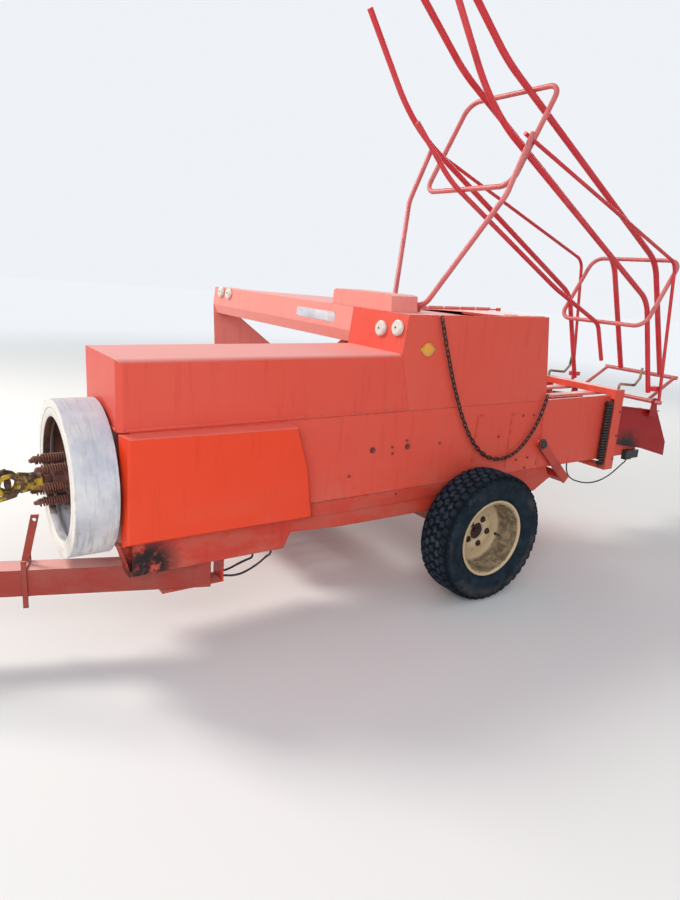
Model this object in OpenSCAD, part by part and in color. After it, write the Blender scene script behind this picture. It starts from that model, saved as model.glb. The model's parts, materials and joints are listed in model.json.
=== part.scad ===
// Small square baler, parked on its wheels and its drawbar jack, wagon chute folded over the top.
// X runs along the machine with the drawbar towards -X, the near side of the bale chamber is at
// low Y and the crop intake at high Y. Z is up and the ground is at zero.

/* [Bale chamber] */
// Height of the bale
bale_h = 360; // [340:1:380]
// Width of the bale
bale_w = 460; // [440:1:480]
// Thickness of the chamber walls
wall_t = 20; // [12:1:24]
// Height of the chamber's underside above the ground
chamber_z = 600; // [590:1:610]
// Front end of the chamber
chamber_front = -1800; // [-1820:5:-1780]
// Where the closed chamber ends and the open one starts
case_x = 560; // [545:5:575]
// Rear end of the open chamber
case_end = 1127; // [1110:1:1140]
// Length of the intake window in the far wall
intake_l = 540; // [480:10:560]

/* [Wheels] */
// Radius of the tyres
tyre_r = 345; // [335:1:350]
// Width of the tyres
tyre_w = 214; // [200:1:220]
// Radius of the rim where the tyre sits
bead_r = 184; // [176:1:187]
// Height of the rim's flange
flange_h = 22; // [18:1:24]
// Distance of the near tyre's middle from the side of the chamber
tyre_out = 152; // [147:1:160]
// Distance between the middles of the two tyres
track_w = 2262; // [2250:1:2275]
// Side of the square axle beam
axle_s = 100; // [80:1:110]
// Radius of the wheel spindles
spindle_r = 22; // [18:1:26]
// Number of wheel bolts
wheel_bolts = 5; // [4:1:6]

/* [Flywheel and shaft] */
// Radius of the flywheel
fly_r = 320; // [300:1:330]
// Width of the flywheel's rim
fly_w = 165; // [150:1:170]
// Thickness of the flywheel's rim
fly_rim = 34; // [28:1:40]
// Height of the flywheel's middle
fly_z = 770; // [760:1:780]
// Radius of the slip clutch
clutch_r = 118; // [105:1:125]
// Number of clutch springs
clutch_springs = 8; // [6:1:10]
// Radius of the drive shaft's guard tube
guard_r = 35; // [32:1:38]
// Length of the drive shaft from its joint, seen from above
shaft_l = 850; // [820:5:870]
// Drop of the drive shaft for each unit of length
shaft_slope = 0.36; // [0.35:0.005:0.37]

/* [Drawbar and jack] */
// Width of the drawbar
bar_w = 100; // [90:1:110]
// Height of the drawbar
bar_h = 114; // [100:1:116]
// Height of the drawbar's underside
bar_z = 280; // [278:1:284]
// Angle of the drawbar towards the intake side in transport
bar_angle = 19.5; // [18:0.5:20]
// Length of the drawbar from its swing pin to the hitch eye
bar_l = 1800; // [1750:10:1900]
// Radius of the swing pin
swing_pin_r = 20; // [16:1:24]
// Radius of the hitch eye's hole
hitch_r = 16; // [13:1:18]
// Distance of the jack from the swing pin
jack_x = 1560; // [1540:5:1580]
// Radius of the jack's outer tube
jack_r = 32; // [30:1:36]

/* [Covers] */
// Height of the front box above the chamber
box_h = 278; // [260:1:285]
// Width of the front box and of the twine housing
box_w = 461; // [450:1:470]
// Front end of the front box
box_front = -1847; // [-1860:1:-1840]
// Rounding of the front box
box_round = 26; // [15:1:35]
// Height of the twine housing above the chamber
housing_h = 462; // [450:1:470]
// Thickness of the sheet metal
sheet_t = 8; // [6:1:10]
// How far the side guard stands out
guard_out = 60; // [40:1:75]
// Length of the housing's lid
lid_l = 610; // [560:5:620]

/* [Intake] */
// Far end of the feeder hood
hood_end = 2241; // [2236:1:2250]
// Height of the feed floor's top
floor_z = 630; // [625:1:635]
// Radius of the tine tips
tine_r = 250; // [235:1:252]
// Radius of the stripper bands
band_r = 175; // [165:1:180]
// Number of tine pairs on each bar
tine_pairs = 11; // [9:1:11]
// Spacing of the tine pairs
tine_pitch = 126; // [120:1:130]
// Number of tine bars
tine_bars = 4; // [3:1:5]
// Radius of the gauge wheel
gauge_r = 170; // [150:1:175]

/* [Bale tension] */
// Outer radius of the tension springs
spring_r = 24; // [20:1:26]
// Radius of the spring wire
spring_wire = 6; // [5:0.5:7]
// Turns of a tension spring
spring_turns = 22; // [18:1:24]
// Radius of the crank rods
crank_r = 8; // [6:1:9]

/* [Needles] */
// Radius that the needle tips travel on
needle_r = 340; // [335:1:345]
// Distance between the two needles
needle_gap = 230; // [210:5:250]
// Width of a needle
needle_w = 20; // [16:1:24]

/* [Safety chain] */
// Radius of the wire of a link
chain_wire = 3.5; // [3:0.5:3.5]
// Free width inside a link
chain_open = 10; // [9:0.5:11]
// Number of links
chain_links = 51; // [49:2:53]

/* [Wagon chute] */
// Radius of the chute's hinge shaft
hinge_r = 14; // [12:1:16]
// Radius of the floor rails' tube
floor_rail_r = 17; // [15:1:18]
// Radius of the corner rails' tube
rail_r = 10; // [8:1:12]
// Bend radius of the rails
rail_bend = 90; // [80:5:100]
// Radius of the side rails' tube
side_r = 15; // [13:1:16]
// Radius of the top rail's tube
top_r = 13; // [11:1:14]
// Radius of the hoops' tube
hoop_r = 13; // [11:1:14]
// Distance between the floor rails
floor_gap = 300; // [280:5:320]
// Width of the hoops, between the middles of their sides
hoop_w = 626; // [610:2:632]
// Bend radius of the hoops
hoop_bend = 75; // [65:5:80]

/* [Hidden] */
$fn = 48;

// Gaps: between pieces that lie on each other, and round a shaft that turns
seat = 0.3;
run_gap = 0.1;
// Elbows of bent bars: how far the legs reach in, and how much fuller the elbow is
elbow_lap = 3;
elbow_gain = 0.3;
// Play between two links of the chain
link_gap = 0.5;

// Paints
faded_red = [0.84, 0.29, 0.23];
deep_red = [0.66, 0.12, 0.15];
rusty_red = [0.62, 0.26, 0.25];
dark_steel = [0.2, 0.2, 0.22];
rust = [0.45, 0.24, 0.2];
rim_tan = [0.74, 0.62, 0.43];
rubber = [0.17, 0.19, 0.26];
off_white = [0.8, 0.8, 0.84];
yellow = [0.75, 0.63, 0.1];

// Chamber
chamber_w = bale_w + 2 * wall_t;
chamber_h = bale_h + 2 * wall_t;
chamber_top = chamber_z + chamber_h;
mid_y = chamber_w / 2;
intake_x = -420;

// Frame rails under the chamber
rail_t = 8;
rail_low = 402;

// Tension frame at the rear of the case
tension_x = case_end + 13;
tension_beam = 38;

// Hooks of the safety chain
chain_hook_r = 4;

// Wheels
near_y = -tyre_out;
far_y = near_y + track_w;
rim_w = tyre_w - 56;
beam_end_near = 5;
beam_end_far = far_y - 125;
axle_top = tyre_r + axle_s / 2;

// Flywheel, clutch and shaft
fly_back = box_front - 13;
fly_front = fly_back - fly_w;
joint_x = fly_front - 175;
input_r = 30;
joint_p = [joint_x, mid_y, fly_z];

// Drawbar
swing_x = -1600;
swing_y = 115;
bar_top = bar_z + bar_h;
bar_tail = 170;
rest_x = 1200;
rest_p = [swing_x - rest_x * cos(bar_angle), swing_y + rest_x * sin(bar_angle)];
shaft_yaw = atan2(rest_p[1] - joint_p[1], joint_p[0] - rest_p[0]);
shaft_pitch = atan(shaft_slope);
guard_step = 5;
rest_run = norm([rest_p[0] - joint_p[0], rest_p[1] - joint_p[1]]);
rest_z = fly_z - shaft_slope * rest_run;

// Front box and housing
box_top = chamber_top + box_h;
box_rear_low = -442;
box_rear_high = -509;
housing_top = chamber_top + housing_h;
housing_front = -486;
housing_rear_low = 560;
housing_rear_high = 489;
lid_x = -130;
lid_y = 26;
lid_w = box_w - 116;
lid_t = 6;
lid_pin_r = 4;
lid_knuckle_r = 9;
lid_hinge_y = lid_y + lid_w + lid_knuckle_r + 4;
lid_hinge_z = housing_top + lid_knuckle_r + 1;

// Feeder hood and floor
hood_start = box_w + seat;
hood_rear = 50;
hood_low = box_top;
hood_fold = 1340;
hood_t = 6;
floor_front = -470;
floor_far = far_y - tyre_w / 2 - 23;

// Pickup
lift_x = -440;
lift_z = 545;
reel_x = -830;
reel_z = 430;
pick_y0 = 592;
pick_y1 = 2068;
pick_back = -560;
side_t = 8;
guard_p = [-600, 750];
guard_pin_r = 10;

// Pivot of the needle yoke, X and Z
needle_p = [540, 753];
needle_pin_r = 16;

// Wagon chute, as points of X and Z at each rail
hinge_p = [1530, 950];
bow_p = [1795, 1086];
stay_r = rail_r + 3;
bow_r = rail_r + 3;
stay_foot = [-295, 1497];

// Routes of the rails, with the bend at each of their corners
floor_rail_pts = [bow_p + [-5, 13.4], [1527, 1809], [60, 2657], [-330, 3000]];
floor_bends = [260, 900];
top_rail_pts = [[1349, 1176], [1257, 1410], [807, 1613], [-90, 2104], [-335, 2341]];
top_bends = [100, 1500, 600];
side_rail_pts = [[1478, 1010], [1300, 1575], [-134, 2387], [-455, 2862]];
side_bends = [200, 900];
corner_rail_pts = [hinge_p + [-1, hinge_r + seat], [1440, 1800], [40, 2313]];
stay_top = corner_rail_pts[2] - leg(corner_rail_pts, 1) * 2 * stay_r;

// Both hoops lie round the floor rails and on the top rail: one at the elbows, one further along
floor_off = floor_rail_r + hoop_r + seat;
top_off = top_r + hoop_r + seat;
hoop_a = [
    outside_elbow(floor_rail_pts, 1, floor_bends[0], floor_off + elbow_gain),
    outside_elbow(top_rail_pts, 1, top_bends[0], top_off + elbow_gain)
];
hoop_b = [
    floor_rail_pts[1] + leg(floor_rail_pts, 1) * 1465 + outside(leg(floor_rail_pts, 1)) * floor_off,
    top_rail_pts[2] + leg(top_rail_pts, 2) * 923 + outside(leg(top_rail_pts, 2)) * top_off
];

// The corner rails run outside the hoops and the side rails inside them
corner_y = hoop_w / 2 + hoop_r + rail_r + seat;
side_y = hoop_w / 2 - hoop_r - side_r - elbow_gain - seat;
stay_y = corner_y + rail_r + stay_r + seat;
shaft_end = corner_y + rail_r + 4;

// Middle of the whole machine, seen from above
hitch_x = swing_x - bar_l * cos(bar_angle);
eye_r = 36;
org_x = (hitch_x - eye_r + bow_p[0] + bow_r + 1) / 2;
org_y = (near_y - tyre_w / 2 + hood_end) / 2;

// Route of the loose leads and of the chain, worked out at the parked machine
front_lead_a = [
    [-1367.7, 100, 300], [-1358, 100, 300], [-1349, 99, 301], [-1340, 96, 304], [-1331, 91, 309],
    [-1323, 84, 316], [-1315, 76, 324], [-1307, 67, 333], [-1299, 57, 342], [-1291, 47, 351],
    [-1283, 36, 360], [-1275, 26, 368], [-1268, 16, 376], [-1263, 8, 384], [-1262, 5, 392.5],
    [-1262, 5, 401.7]
];
front_lead_b = [
    [-1367.7, 100, 275], [-1358, 100, 275], [-1345, 98, 273.5], [-1331, 94, 272], [-1317, 89, 272],
    [-1303, 83, 274], [-1289, 77, 278], [-1275, 70, 284.5], [-1261, 63, 293], [-1247, 56, 303],
    [-1233, 48, 315], [-1219, 40, 328], [-1206, 32, 342], [-1194, 24, 357], [-1183, 16, 371],
    [-1174, 8.5, 381], [-1171, 5, 391.5], [-1171, 5, 401.7]
];
tail_lead_pts = [
    [1395, -15, 574.7], [1395, -15, 565], [1388, -14, 556], [1362, -13, 542], [1320, -12, 516], [1270, -10, 488],
    [1215, -8, 466], [1150, -6, 452], [1085, -4, 448], [1028, 0, 453], [970, 6, 466],
    [915, 10, 486], [870, 10, 515], [845, 10, 555], [838, 10, 590], [838, 10, 599.7]
];
chain_y = -18;
chain_pts = [
    [-298, chain_y, 1452], [-271, chain_y, 1370], [-225, chain_y, 1245], [-174, chain_y, 1115],
    [-110, chain_y, 977], [-54, chain_y, 880], [-2, chain_y, 812], [52, chain_y, 758], [109, chain_y, 720],
    [170, chain_y, 697], [229, chain_y, 691], [290, chain_y, 700], [345, chain_y, 722],
    [396, chain_y, 760], [447, chain_y, 815], [488, chain_y, 876], [522, chain_y, 950], [545, chain_y, 1030]
];

function unit(v) = v / norm(v);
function leg(pts, i) = unit(pts[i + 1] - pts[i]);
function heading(d) = atan2(d[1], d[0]);
function turn(a, b) = atan2(a[0] * b[1] - a[1] * b[0], a * b);
function outside(d) = [d[1], -d[0]];

// A bend radius is one value for the whole bar, or a list with one for each corner
function bend_at(bend, i) = is_list(bend) ? bend[i - 1] : bend;

// Place at a distance from the middle of an elbow, on its outside
function outside_elbow(pts, i, bend, off) =
    let (a = leg(pts, i - 1), b = leg(pts, i))
    pts[i] + unit(a - b) * (off - bend * (1 / cos(turn(a, b) / 2) - 1));

// Length of a route, and the place at a distance from its start
function run_length(pts) = [for (i = [1:len(pts) - 1]) norm(pts[i] - pts[i - 1])] * [for (i = [1:len(pts) - 1]) 1];
function along(pts, run, i = 1) =
    let (step = norm(pts[i] - pts[i - 1]))
    run > step && i < len(pts) - 1 ? along(pts, run - step, i + 1)
        : pts[i - 1] + (pts[i] - pts[i - 1]) * run / step;
function eased(pts, run, ease) = (along(pts, run - ease) + along(pts, run) + along(pts, run + ease)) / 3;

// Moves a piece into the machine's frame and paints it
module painted(shade) {
    translate([-org_x, -org_y, 0]) color(shade) children();
}

// Block between two opposite corners
module block(low, high) {
    translate(low) cube(high - low);
}

module rod_x(x0, x1, y, z, r) {
    translate([x0, y, z]) rotate([0, 90, 0]) cylinder(r = r, h = x1 - x0);
}

module rod_y(x, y0, y1, z, r) {
    translate([x, y0, z]) rotate([-90, 0, 0]) cylinder(r = r, h = y1 - y0);
}

module rod_z(x, y, z0, z1, r) {
    translate([x, y, z0]) cylinder(r = r, h = z1 - z0);
}

// Plate with an outline in X and Z, between two places across the machine
module plate_y(y0, y1, pts) {
    translate([0, y1, 0]) rotate([90, 0, 0]) linear_extrude(y1 - y0) polygon(pts);
}

// Plate with an outline in Y and Z, between two places along the machine
module plate_x(x0, x1, pts) {
    translate([x0, 0, 0]) rotate([90, 0, 90]) linear_extrude(x1 - x0) polygon(pts);
}

// Plate with an outline seen from above
module plate_z(z0, z1, pts) {
    translate([0, 0, z0]) linear_extrude(z1 - z0) polygon(pts);
}

module round_rect(w, h, r) {
    translate([r, 0]) square([w - 2 * r, h]);
    translate([0, r]) square([w, h - 2 * r]);
    for (x = [r, w - r], y = [r, h - r]) translate([x, y]) circle(r);
}

// Round bar bent in its own plane, with a slightly fuller elbow at each corner
module bent_bar(pts, bend, r) {
    last = len(pts) - 1;
    turns = [for (i = [1:last - 1]) turn(leg(pts, i - 1), leg(pts, i))];
    cuts = concat([0], [for (i = [1:last - 1]) bend_at(bend, i) * tan(abs(turns[i - 1]) / 2) - elbow_lap], [0]);
    for (i = [0:last - 1]) {
        d = leg(pts, i);
        from = pts[i] + d * cuts[i];
        length = norm(pts[i + 1] - pts[i]) - cuts[i] - cuts[i + 1];
        translate([from[0], from[1], 0]) rotate([0, 90, heading(d)]) cylinder(r = r, h = length);
    }
    for (i = [1:last - 1]) {
        d = leg(pts, i - 1);
        t = turns[i - 1];
        s = t > 0 ? 1 : -1;
        round_r = bend_at(bend, i);
        c = pts[i] - d * (cuts[i] + elbow_lap) - s * round_r * outside(d);
        start = heading(d) - s * 90 + min(t, 0);
        translate([c[0], c[1], 0]) rotate([0, 0, start])
            rotate_extrude(angle = abs(t)) translate([round_r, 0]) circle(r + elbow_gain);
    }
}

// Closed ring of round bar: a rectangle with rounded corners
module ring_bar(w, h, bend, r) {
    side = bend - elbow_lap;
    for (s = [-1, 1]) {
        translate([-w / 2 + side, s * h / 2, 0]) rotate([0, 90, 0]) cylinder(r = r, h = w - 2 * side);
        translate([s * w / 2, -h / 2 + side, 0]) rotate([-90, 0, 0]) cylinder(r = r, h = h - 2 * side);
    }
    corners = [[1, 1, 0], [-1, 1, 90], [-1, -1, 180], [1, -1, 270]]; // side in X, side in Y, start
    for (c = corners)
        translate([c[0] * (w / 2 - bend), c[1] * (h / 2 - bend), 0]) rotate([0, 0, c[2]])
            rotate_extrude(angle = 90) translate([bend, 0]) circle(r + elbow_gain);
}

// Bent bar that lies in a plane across the machine at one place in Y
module rail(y, pts, bend, r) {
    translate([0, y, 0]) rotate([90, 0, 0]) bent_bar(pts, bend, r);
}

// Loose lead: a ring of points at each place on its route
module lead(pts, r, across = [0, 1, 0], sides = 8) {
    last = len(pts) - 1;
    dirs = [for (i = [0:last]) unit(pts[min(i + 1, last)] - pts[max(i - 1, 0)])];
    rings = [for (i = [0:last])
        let (a = unit(cross(across, dirs[i])), b = cross(dirs[i], a))
        for (k = [0:sides - 1]) pts[i] + r * (a * cos(k * 360 / sides) + b * sin(k * 360 / sides))];
    walls = [for (i = [0:last - 1], k = [0:sides - 1])
        let (n = (k + 1) % sides)
        [i * sides + k, (i + 1) * sides + k, (i + 1) * sides + n, i * sides + n]];
    caps = [[for (k = [0:sides - 1]) k], [for (k = [sides - 1:-1:0]) last * sides + k]];
    polyhedron(rings, concat(walls, caps), convexity = 4);
}

// The rear end of the rails keeps inside the sweep of the needle yoke
module frame_rails() {
    outline = [
        [chamber_front, chamber_z - seat], [chamber_front, rail_low], [-1110, rail_low], [-1074, 474],
        [-802, 459], [-285, 458], [150, 470], [195, 520], [280, 560], [340, 540], [430, 480], [480, 462],
        [557, 462], [681, 529], [643, 582], [640, chamber_z - seat]
    ];
    painted(faded_red) difference() {
        union() {
            for (y = [0, chamber_w - rail_t]) plate_y(y, y + rail_t, outline);
            for (x = [-1300, -700, 120]) block([x, rail_t, 520], [x + 60, chamber_w - rail_t, 580]);
            for (y = [rail_t, chamber_w - 2 * rail_t])
                block([-70, y, axle_top], [70, y + rail_t, 520]);
        }
        for (x = [-1250, -960, -650]) rod_y(x, -1, chamber_w + 1, 560, 7);
    }
}

module bale_chamber() {
    painted(faded_red) difference() {
        block([chamber_front, 0, chamber_z], [case_x, chamber_w, chamber_top]);
        block([chamber_front + sheet_t, wall_t, chamber_z + wall_t],
              [case_x + 1, chamber_w - wall_t, chamber_top - wall_t]);
        block([intake_x, chamber_w - wall_t - 1, chamber_z + wall_t + 10],
              [intake_x + intake_l, chamber_w + 1, chamber_top - wall_t - 10]);
        rod_x(chamber_front - 1, chamber_front + sheet_t + 1, mid_y, fly_z, 75);
        for (s = [-1, 1]) {
            y = mid_y + s * needle_gap / 2;
            block([195, y - needle_w, chamber_z - 1], [300, y + needle_w, chamber_z + wall_t + 1]);
            block([250, y - needle_w, chamber_top - wall_t - 1], [370, y + needle_w, chamber_top + 1]);
        }
    }
    painted(dark_steel) for (y = [[-40, 1], [chamber_w - 1, chamber_w + 40]]) {
        rod_y(needle_p[0], y[0], y[1], needle_p[1], needle_pin_r);
    }
    painted(dark_steel) for (y = [-40, chamber_w + 31]) rod_y(needle_p[0], y, y + 9, needle_p[1], 28);
    ribs = [[24, 692, 35, 41], [284, 633, 294, 51], [541, 624, 548, 11]]; // foot X and Z, top X, flange
    painted(faded_red) for (p = ribs) plate_y(-4, 1, [
        [p[0], p[1]], [p[0] + 10, p[1]], [p[2] + 10, chamber_top - 64], [p[2] + p[3], chamber_top - 64],
        [p[2] + p[3], chamber_top - 54], [p[2], chamber_top - 54]
    ]);
}

module bale_case() {
    painted(faded_red) difference() {
        block([case_x + seat, 0, chamber_z], [case_end, chamber_w, chamber_top]);
        block([case_x, wall_t, chamber_z + wall_t], [case_end + 1, chamber_w - wall_t, chamber_top + 1]);
    }
}

module axle() {
    painted(rusty_red) {
        block([-axle_s / 2, beam_end_near, tyre_r - axle_s / 2], [axle_s / 2, beam_end_far, axle_top]);
        rod_y(0, near_y - 55, beam_end_near, tyre_r, spindle_r);
        rod_y(0, beam_end_far, far_y + 55, tyre_r, spindle_r);
        for (y = [far_y - 930, far_y - 230])
            block([-30, y, axle_top], [30, y + 60, floor_z - 20 - seat]);
    }
}

// One road wheel's rim, dished outwards to +Y, with its middle at the origin
module rim() {
    half = rim_w / 2;
    barrel = bead_r - 7;
    outer = bead_r + flange_h;
    profile = [
        [spindle_r + run_gap, -70], [60, -70], [60, -6], [80, 0], [barrel - 30, 22], [barrel, 22],
        [barrel, -half - 8], [outer, -half - 8], [outer, -half], [bead_r, -half], [bead_r, half],
        [outer, half], [outer, half + 8], [barrel, half + 8], [barrel, 32], [barrel - 34, 32],
        [78, 10], [58, 10], [52, 40], [spindle_r + run_gap, 40]
    ];
    difference() {
        rotate([-90, 0, 0]) rotate_extrude() polygon([for (p = profile) [p[0], p[1]]]);
        for (i = [0:wheel_bolts - 1]) rotate([0, i * 360 / wheel_bolts, 0])
            rod_y(118, -1, 60, 0, 17);
    }
    for (i = [0:wheel_bolts - 1]) rotate([0, (i + 0.5) * 360 / wheel_bolts, 0])
        rod_y(70, 4, 22, 0, 9);
}

module tyre() {
    bead = bead_r + seat;
    half = rim_w / 2 - seat;
    rotate([-90, 0, 0]) rotate_extrude() difference() {
        union() {
            translate([bead + 30, -tyre_w / 2]) round_rect(tyre_r - bead - 30, tyre_w, 46);
            translate([bead, -half]) square([90, 2 * half]);
        }
        for (y = [-34, 34]) translate([tyre_r - 9, y - 5]) square([20, 10]);
    }
}

module left_rim() {
    painted(rim_tan) translate([0, near_y, tyre_r]) mirror([0, 1, 0]) rim();
}

module left_tyre() {
    painted(rubber) translate([0, near_y, tyre_r]) tyre();
}

module right_rim() {
    painted(rim_tan) translate([0, far_y, tyre_r]) rim();
}

module right_tyre() {
    painted(rubber) translate([0, far_y, tyre_r]) tyre();
}

module drawbar_bracket() {
    x0 = chamber_front + 20;
    x1 = swing_x + bar_tail + 50;
    low = bar_z - 20;
    lip = [
        [-1854, 546], [-1836, 496], [-1819, 440], [-1812, rail_low], [-1804, rail_low],
        [-1811, 438], [-1828, 492], [-1846, 546]
    ];
    painted(rusty_red) difference() {
        union() {
            block([x0, 15, rail_low], [x1 + 12, 215, rail_low + 12]);
            block([swing_x - 50, swing_y - 42, low], [x1, swing_y + 45, low + 12]);
            block([x1, swing_y - 42, low], [x1 + 12, swing_y + 45, rail_low + 12]);
            block([x0, rail_t, rail_low + 12], [x0 + 12, chamber_w - rail_t, chamber_z - seat]);
            block([x1, rail_t, rail_low + 12], [x1 + 12, chamber_w - rail_t, chamber_z - seat]);
            rod_z(swing_x, swing_y, low + 12, bar_z - seat, 40);
            rod_z(swing_x, swing_y, bar_top + seat, rail_low, 40);
            rod_z(swing_x, swing_y, low - 10, rail_low + 26, swing_pin_r);
            plate_y(0, 80, lip);
            plate_y(30, 38, [[x0 + 6, 540], [lip[0][0] + 4, 540], [lip[3][0] + 4, rail_low + 6], [x0 + 6, rail_low + 6]]);
        }
        rod_z(swing_x + 120, swing_y, low - 1, low + 13, 12);
    }
}

module front_box() {
    outline = [
        [box_front, chamber_top], [box_rear_low - seat, chamber_top],
        [box_rear_high - seat, box_top], [box_front, box_top]
    ];
    room = box_round - sheet_t;
    painted(faded_red) difference() {
        intersection() {
            plate_y(0, box_w, outline);
            translate([box_front, 0, 0]) rotate([90, 0, 90]) linear_extrude(1500)
                translate([0, chamber_top - box_round]) round_rect(box_w, box_h + box_round, box_round);
            linear_extrude(2000) translate([box_front, 0]) round_rect(2000, box_w, box_round);
        }
        block([box_front + sheet_t + room, sheet_t, chamber_top - 1],
              [box_rear_high - sheet_t, box_w - sheet_t, box_top - sheet_t - room]);
    }
}

module side_guard() {
    foot = [[-1844, 996], [-1110, 990], [-1014, 780], [-961, 531], [-1840, 537]];
    face = [[-1825, 988], [-1088, 980], [-1030, 788], [-999, 557], [-1833, 562]];
    inner = [[-1812, 972], [-1105, 964], [-1046, 782], [-1020, 575], [-1816, 578]];
    mid = [-1410, 775];
    edge = 7;
    painted(faded_red) difference() {
        hull() {
            plate_y(-4, -seat, foot);
            plate_y(edge - guard_out, edge + 1 - guard_out, face);
            plate_y(-guard_out, 1 - guard_out, [for (p = face) p + unit(mid - p) * edge * 1.4]);
        }
        plate_y(sheet_t - guard_out, 1, inner);
    }
}

module gearbox() {
    painted(rust) {
        rod_x(fly_back, chamber_front + 60, mid_y, fly_z, 70);
        rod_x(fly_front + 95, fly_back + 1, mid_y, fly_z, input_r);
        block([chamber_front + sheet_t + seat, mid_y - 150, chamber_z + wall_t + seat],
              [-1540, mid_y + 150, chamber_top - wall_t - seat]);
    }
}

module plunger() {
    painted(rust) difference() {
        block([-1180, wall_t + 6, chamber_z + wall_t + seat],
              [-760, chamber_w - wall_t - 6, chamber_top - wall_t - 6]);
        for (s = [-1, 1]) {
            y = mid_y + s * needle_gap / 2;
            block([-900, y - 24, chamber_z], [-759, y + 24, chamber_top]);
        }
        block([-1181, wall_t + 60, chamber_z + 90], [-960, chamber_w - wall_t - 60, chamber_top]);
    }
    painted(rust) block([-1540 + seat, mid_y - 40, fly_z - 40], [-960 - seat, mid_y + 40, fly_z + 40]);
}

module twine_housing() {
    low = chamber_top + seat;
    outline = [
        [box_rear_low, low], [box_rear_high, box_top], [housing_front, housing_top],
        [housing_rear_high, housing_top], [housing_rear_low, low]
    ];
    room = [
        [box_rear_low + sheet_t, low - 1], [box_rear_high + sheet_t, box_top],
        [housing_front + sheet_t, housing_top - sheet_t],
        [housing_rear_high - sheet_t, housing_top - sheet_t], [housing_rear_low - sheet_t, low - 1]
    ];
    painted(faded_red) {
        difference() {
            plate_y(0, box_w, outline);
            plate_y(sheet_t, box_w - sheet_t, room);
            block([lid_x + 20, lid_y + 16, housing_top - 20],
                  [lid_x + lid_l - 20, lid_y + lid_w - 16, housing_top + 1]);
        }
        for (x = [lid_x - 22, lid_x + lid_l + seat]) difference() {
            block([x, lid_hinge_y - lid_knuckle_r, housing_top],
                  [x + 22 - seat, lid_hinge_y + lid_knuckle_r, lid_hinge_z + lid_knuckle_r]);
        }
        rod_x(lid_x - 10, lid_x + lid_l + 10, lid_hinge_y, lid_hinge_z, lid_pin_r);
        block([stay_foot[0] - 12, mid_y - 50, housing_top - 1],
              [stay_foot[0] + 40, mid_y + 50, stay_foot[1] - stay_r - seat]);
        for (p = [chain_pts[0], chain_pts[len(chain_pts) - 1]])
            rod_y(p[0], chain_y - chain_wire - 3, 1, p[2], chain_hook_r);
    }
}

module knotters() {
    painted(dark_steel) {
        rod_y(300, sheet_t + seat, box_w - sheet_t - seat, 1250, 18);
        for (s = [-1, 1]) {
            y = mid_y + s * needle_gap / 2;
            rod_y(300, y - 18, y + 18, 1250, 95);
            block([180, y - 12, 1100], [240, y + 12, 1290]);
            rod_x(200, 300, y, 1150, 16);
        }
        rod_y(300, 60, 84, 1250, 130);
    }
}

module housing_lid() {
    z = housing_top + seat;
    painted(faded_red) difference() {
        union() {
            block([lid_x + seat, lid_y, z], [lid_x + lid_l - seat, lid_hinge_y, z + lid_t]);
            block([lid_x + seat, lid_y - 6, z - 14], [lid_x + lid_l - seat, lid_y, z + lid_t]);
            rod_x(lid_x + seat, lid_x + lid_l - seat, lid_hinge_y, lid_hinge_z, lid_knuckle_r);
        }
        rod_x(lid_x - 1, lid_x + lid_l + 1, lid_hinge_y, lid_hinge_z, lid_pin_r + run_gap);
        block([lid_x - 1, lid_y - 7, z - 15], [lid_x + lid_l + 1, lid_y, z]);
    }
}

module feeder_hood() {
    plan = [
        [housing_front, hood_start], [hood_rear, hood_start], [hood_rear, 1200], [-370, 1900],
        [-370, hood_end], [housing_front, hood_end]
    ];
    face = [
        [box_rear_high + 32, hood_low], [box_rear_high + 8, hood_fold], [housing_front, housing_top],
        [housing_front + hood_t, housing_top], [box_rear_high + 8 + hood_t, hood_fold],
        [box_rear_high + 32 + hood_t, hood_low]
    ];
    end_wall = [
        [housing_front, housing_top], [-370, housing_top], [-330, 1280], [40, 1000], [40, 740],
        [-380, 740], [-380, floor_z], [floor_front, floor_z], [-500, hood_fold]
    ];
    painted(faded_red) {
        plate_y(hood_start, hood_end, face);
        plate_z(housing_top - hood_t, housing_top, plan);
        plate_y(hood_end - hood_t, hood_end, end_wall);
        intersection() {
            plate_z(hood_low, housing_top, plan);
            union() {
                block([hood_rear - hood_t, hood_start, hood_low], [hood_rear, 1200, housing_top]);
                plate_z(hood_low, housing_top,
                        [[hood_rear, 1200], [-370, 1900], [-380, 1900], [hood_rear - 10, 1194]]);
                block([-376, 1890, hood_low], [-370, hood_end, housing_top]);
            }
        }
    }
}

module hood_cap() {
    x0 = housing_front + 8;
    z = housing_top + seat;
    outline = [
        [150, z], [680, z], [672, z + 74], [650, z + 82], [180, z + 82], [158, z + 74]
    ];
    painted(faded_red) plate_x(x0, stay_foot[0] - stay_r - 7, outline);
}

module feeder_fork() {
    painted(rust) {
        block([-300, 760, housing_top - hood_t - 150], [-140, 880, housing_top - hood_t - seat]);
        plate_y(800, 840, [[-280, 1310], [-160, 1310], [-190, 1000], [-250, 1000]]);
        block([-250, 640, 980], [-190, 1000, 1030]);
        for (y = [660, 760, 870, 975])
            plate_y(y - 8, y + 8, [[-245, 985], [-195, 985], [-205, 800], [-235, 700], [-250, 700]]);
    }
}

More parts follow.
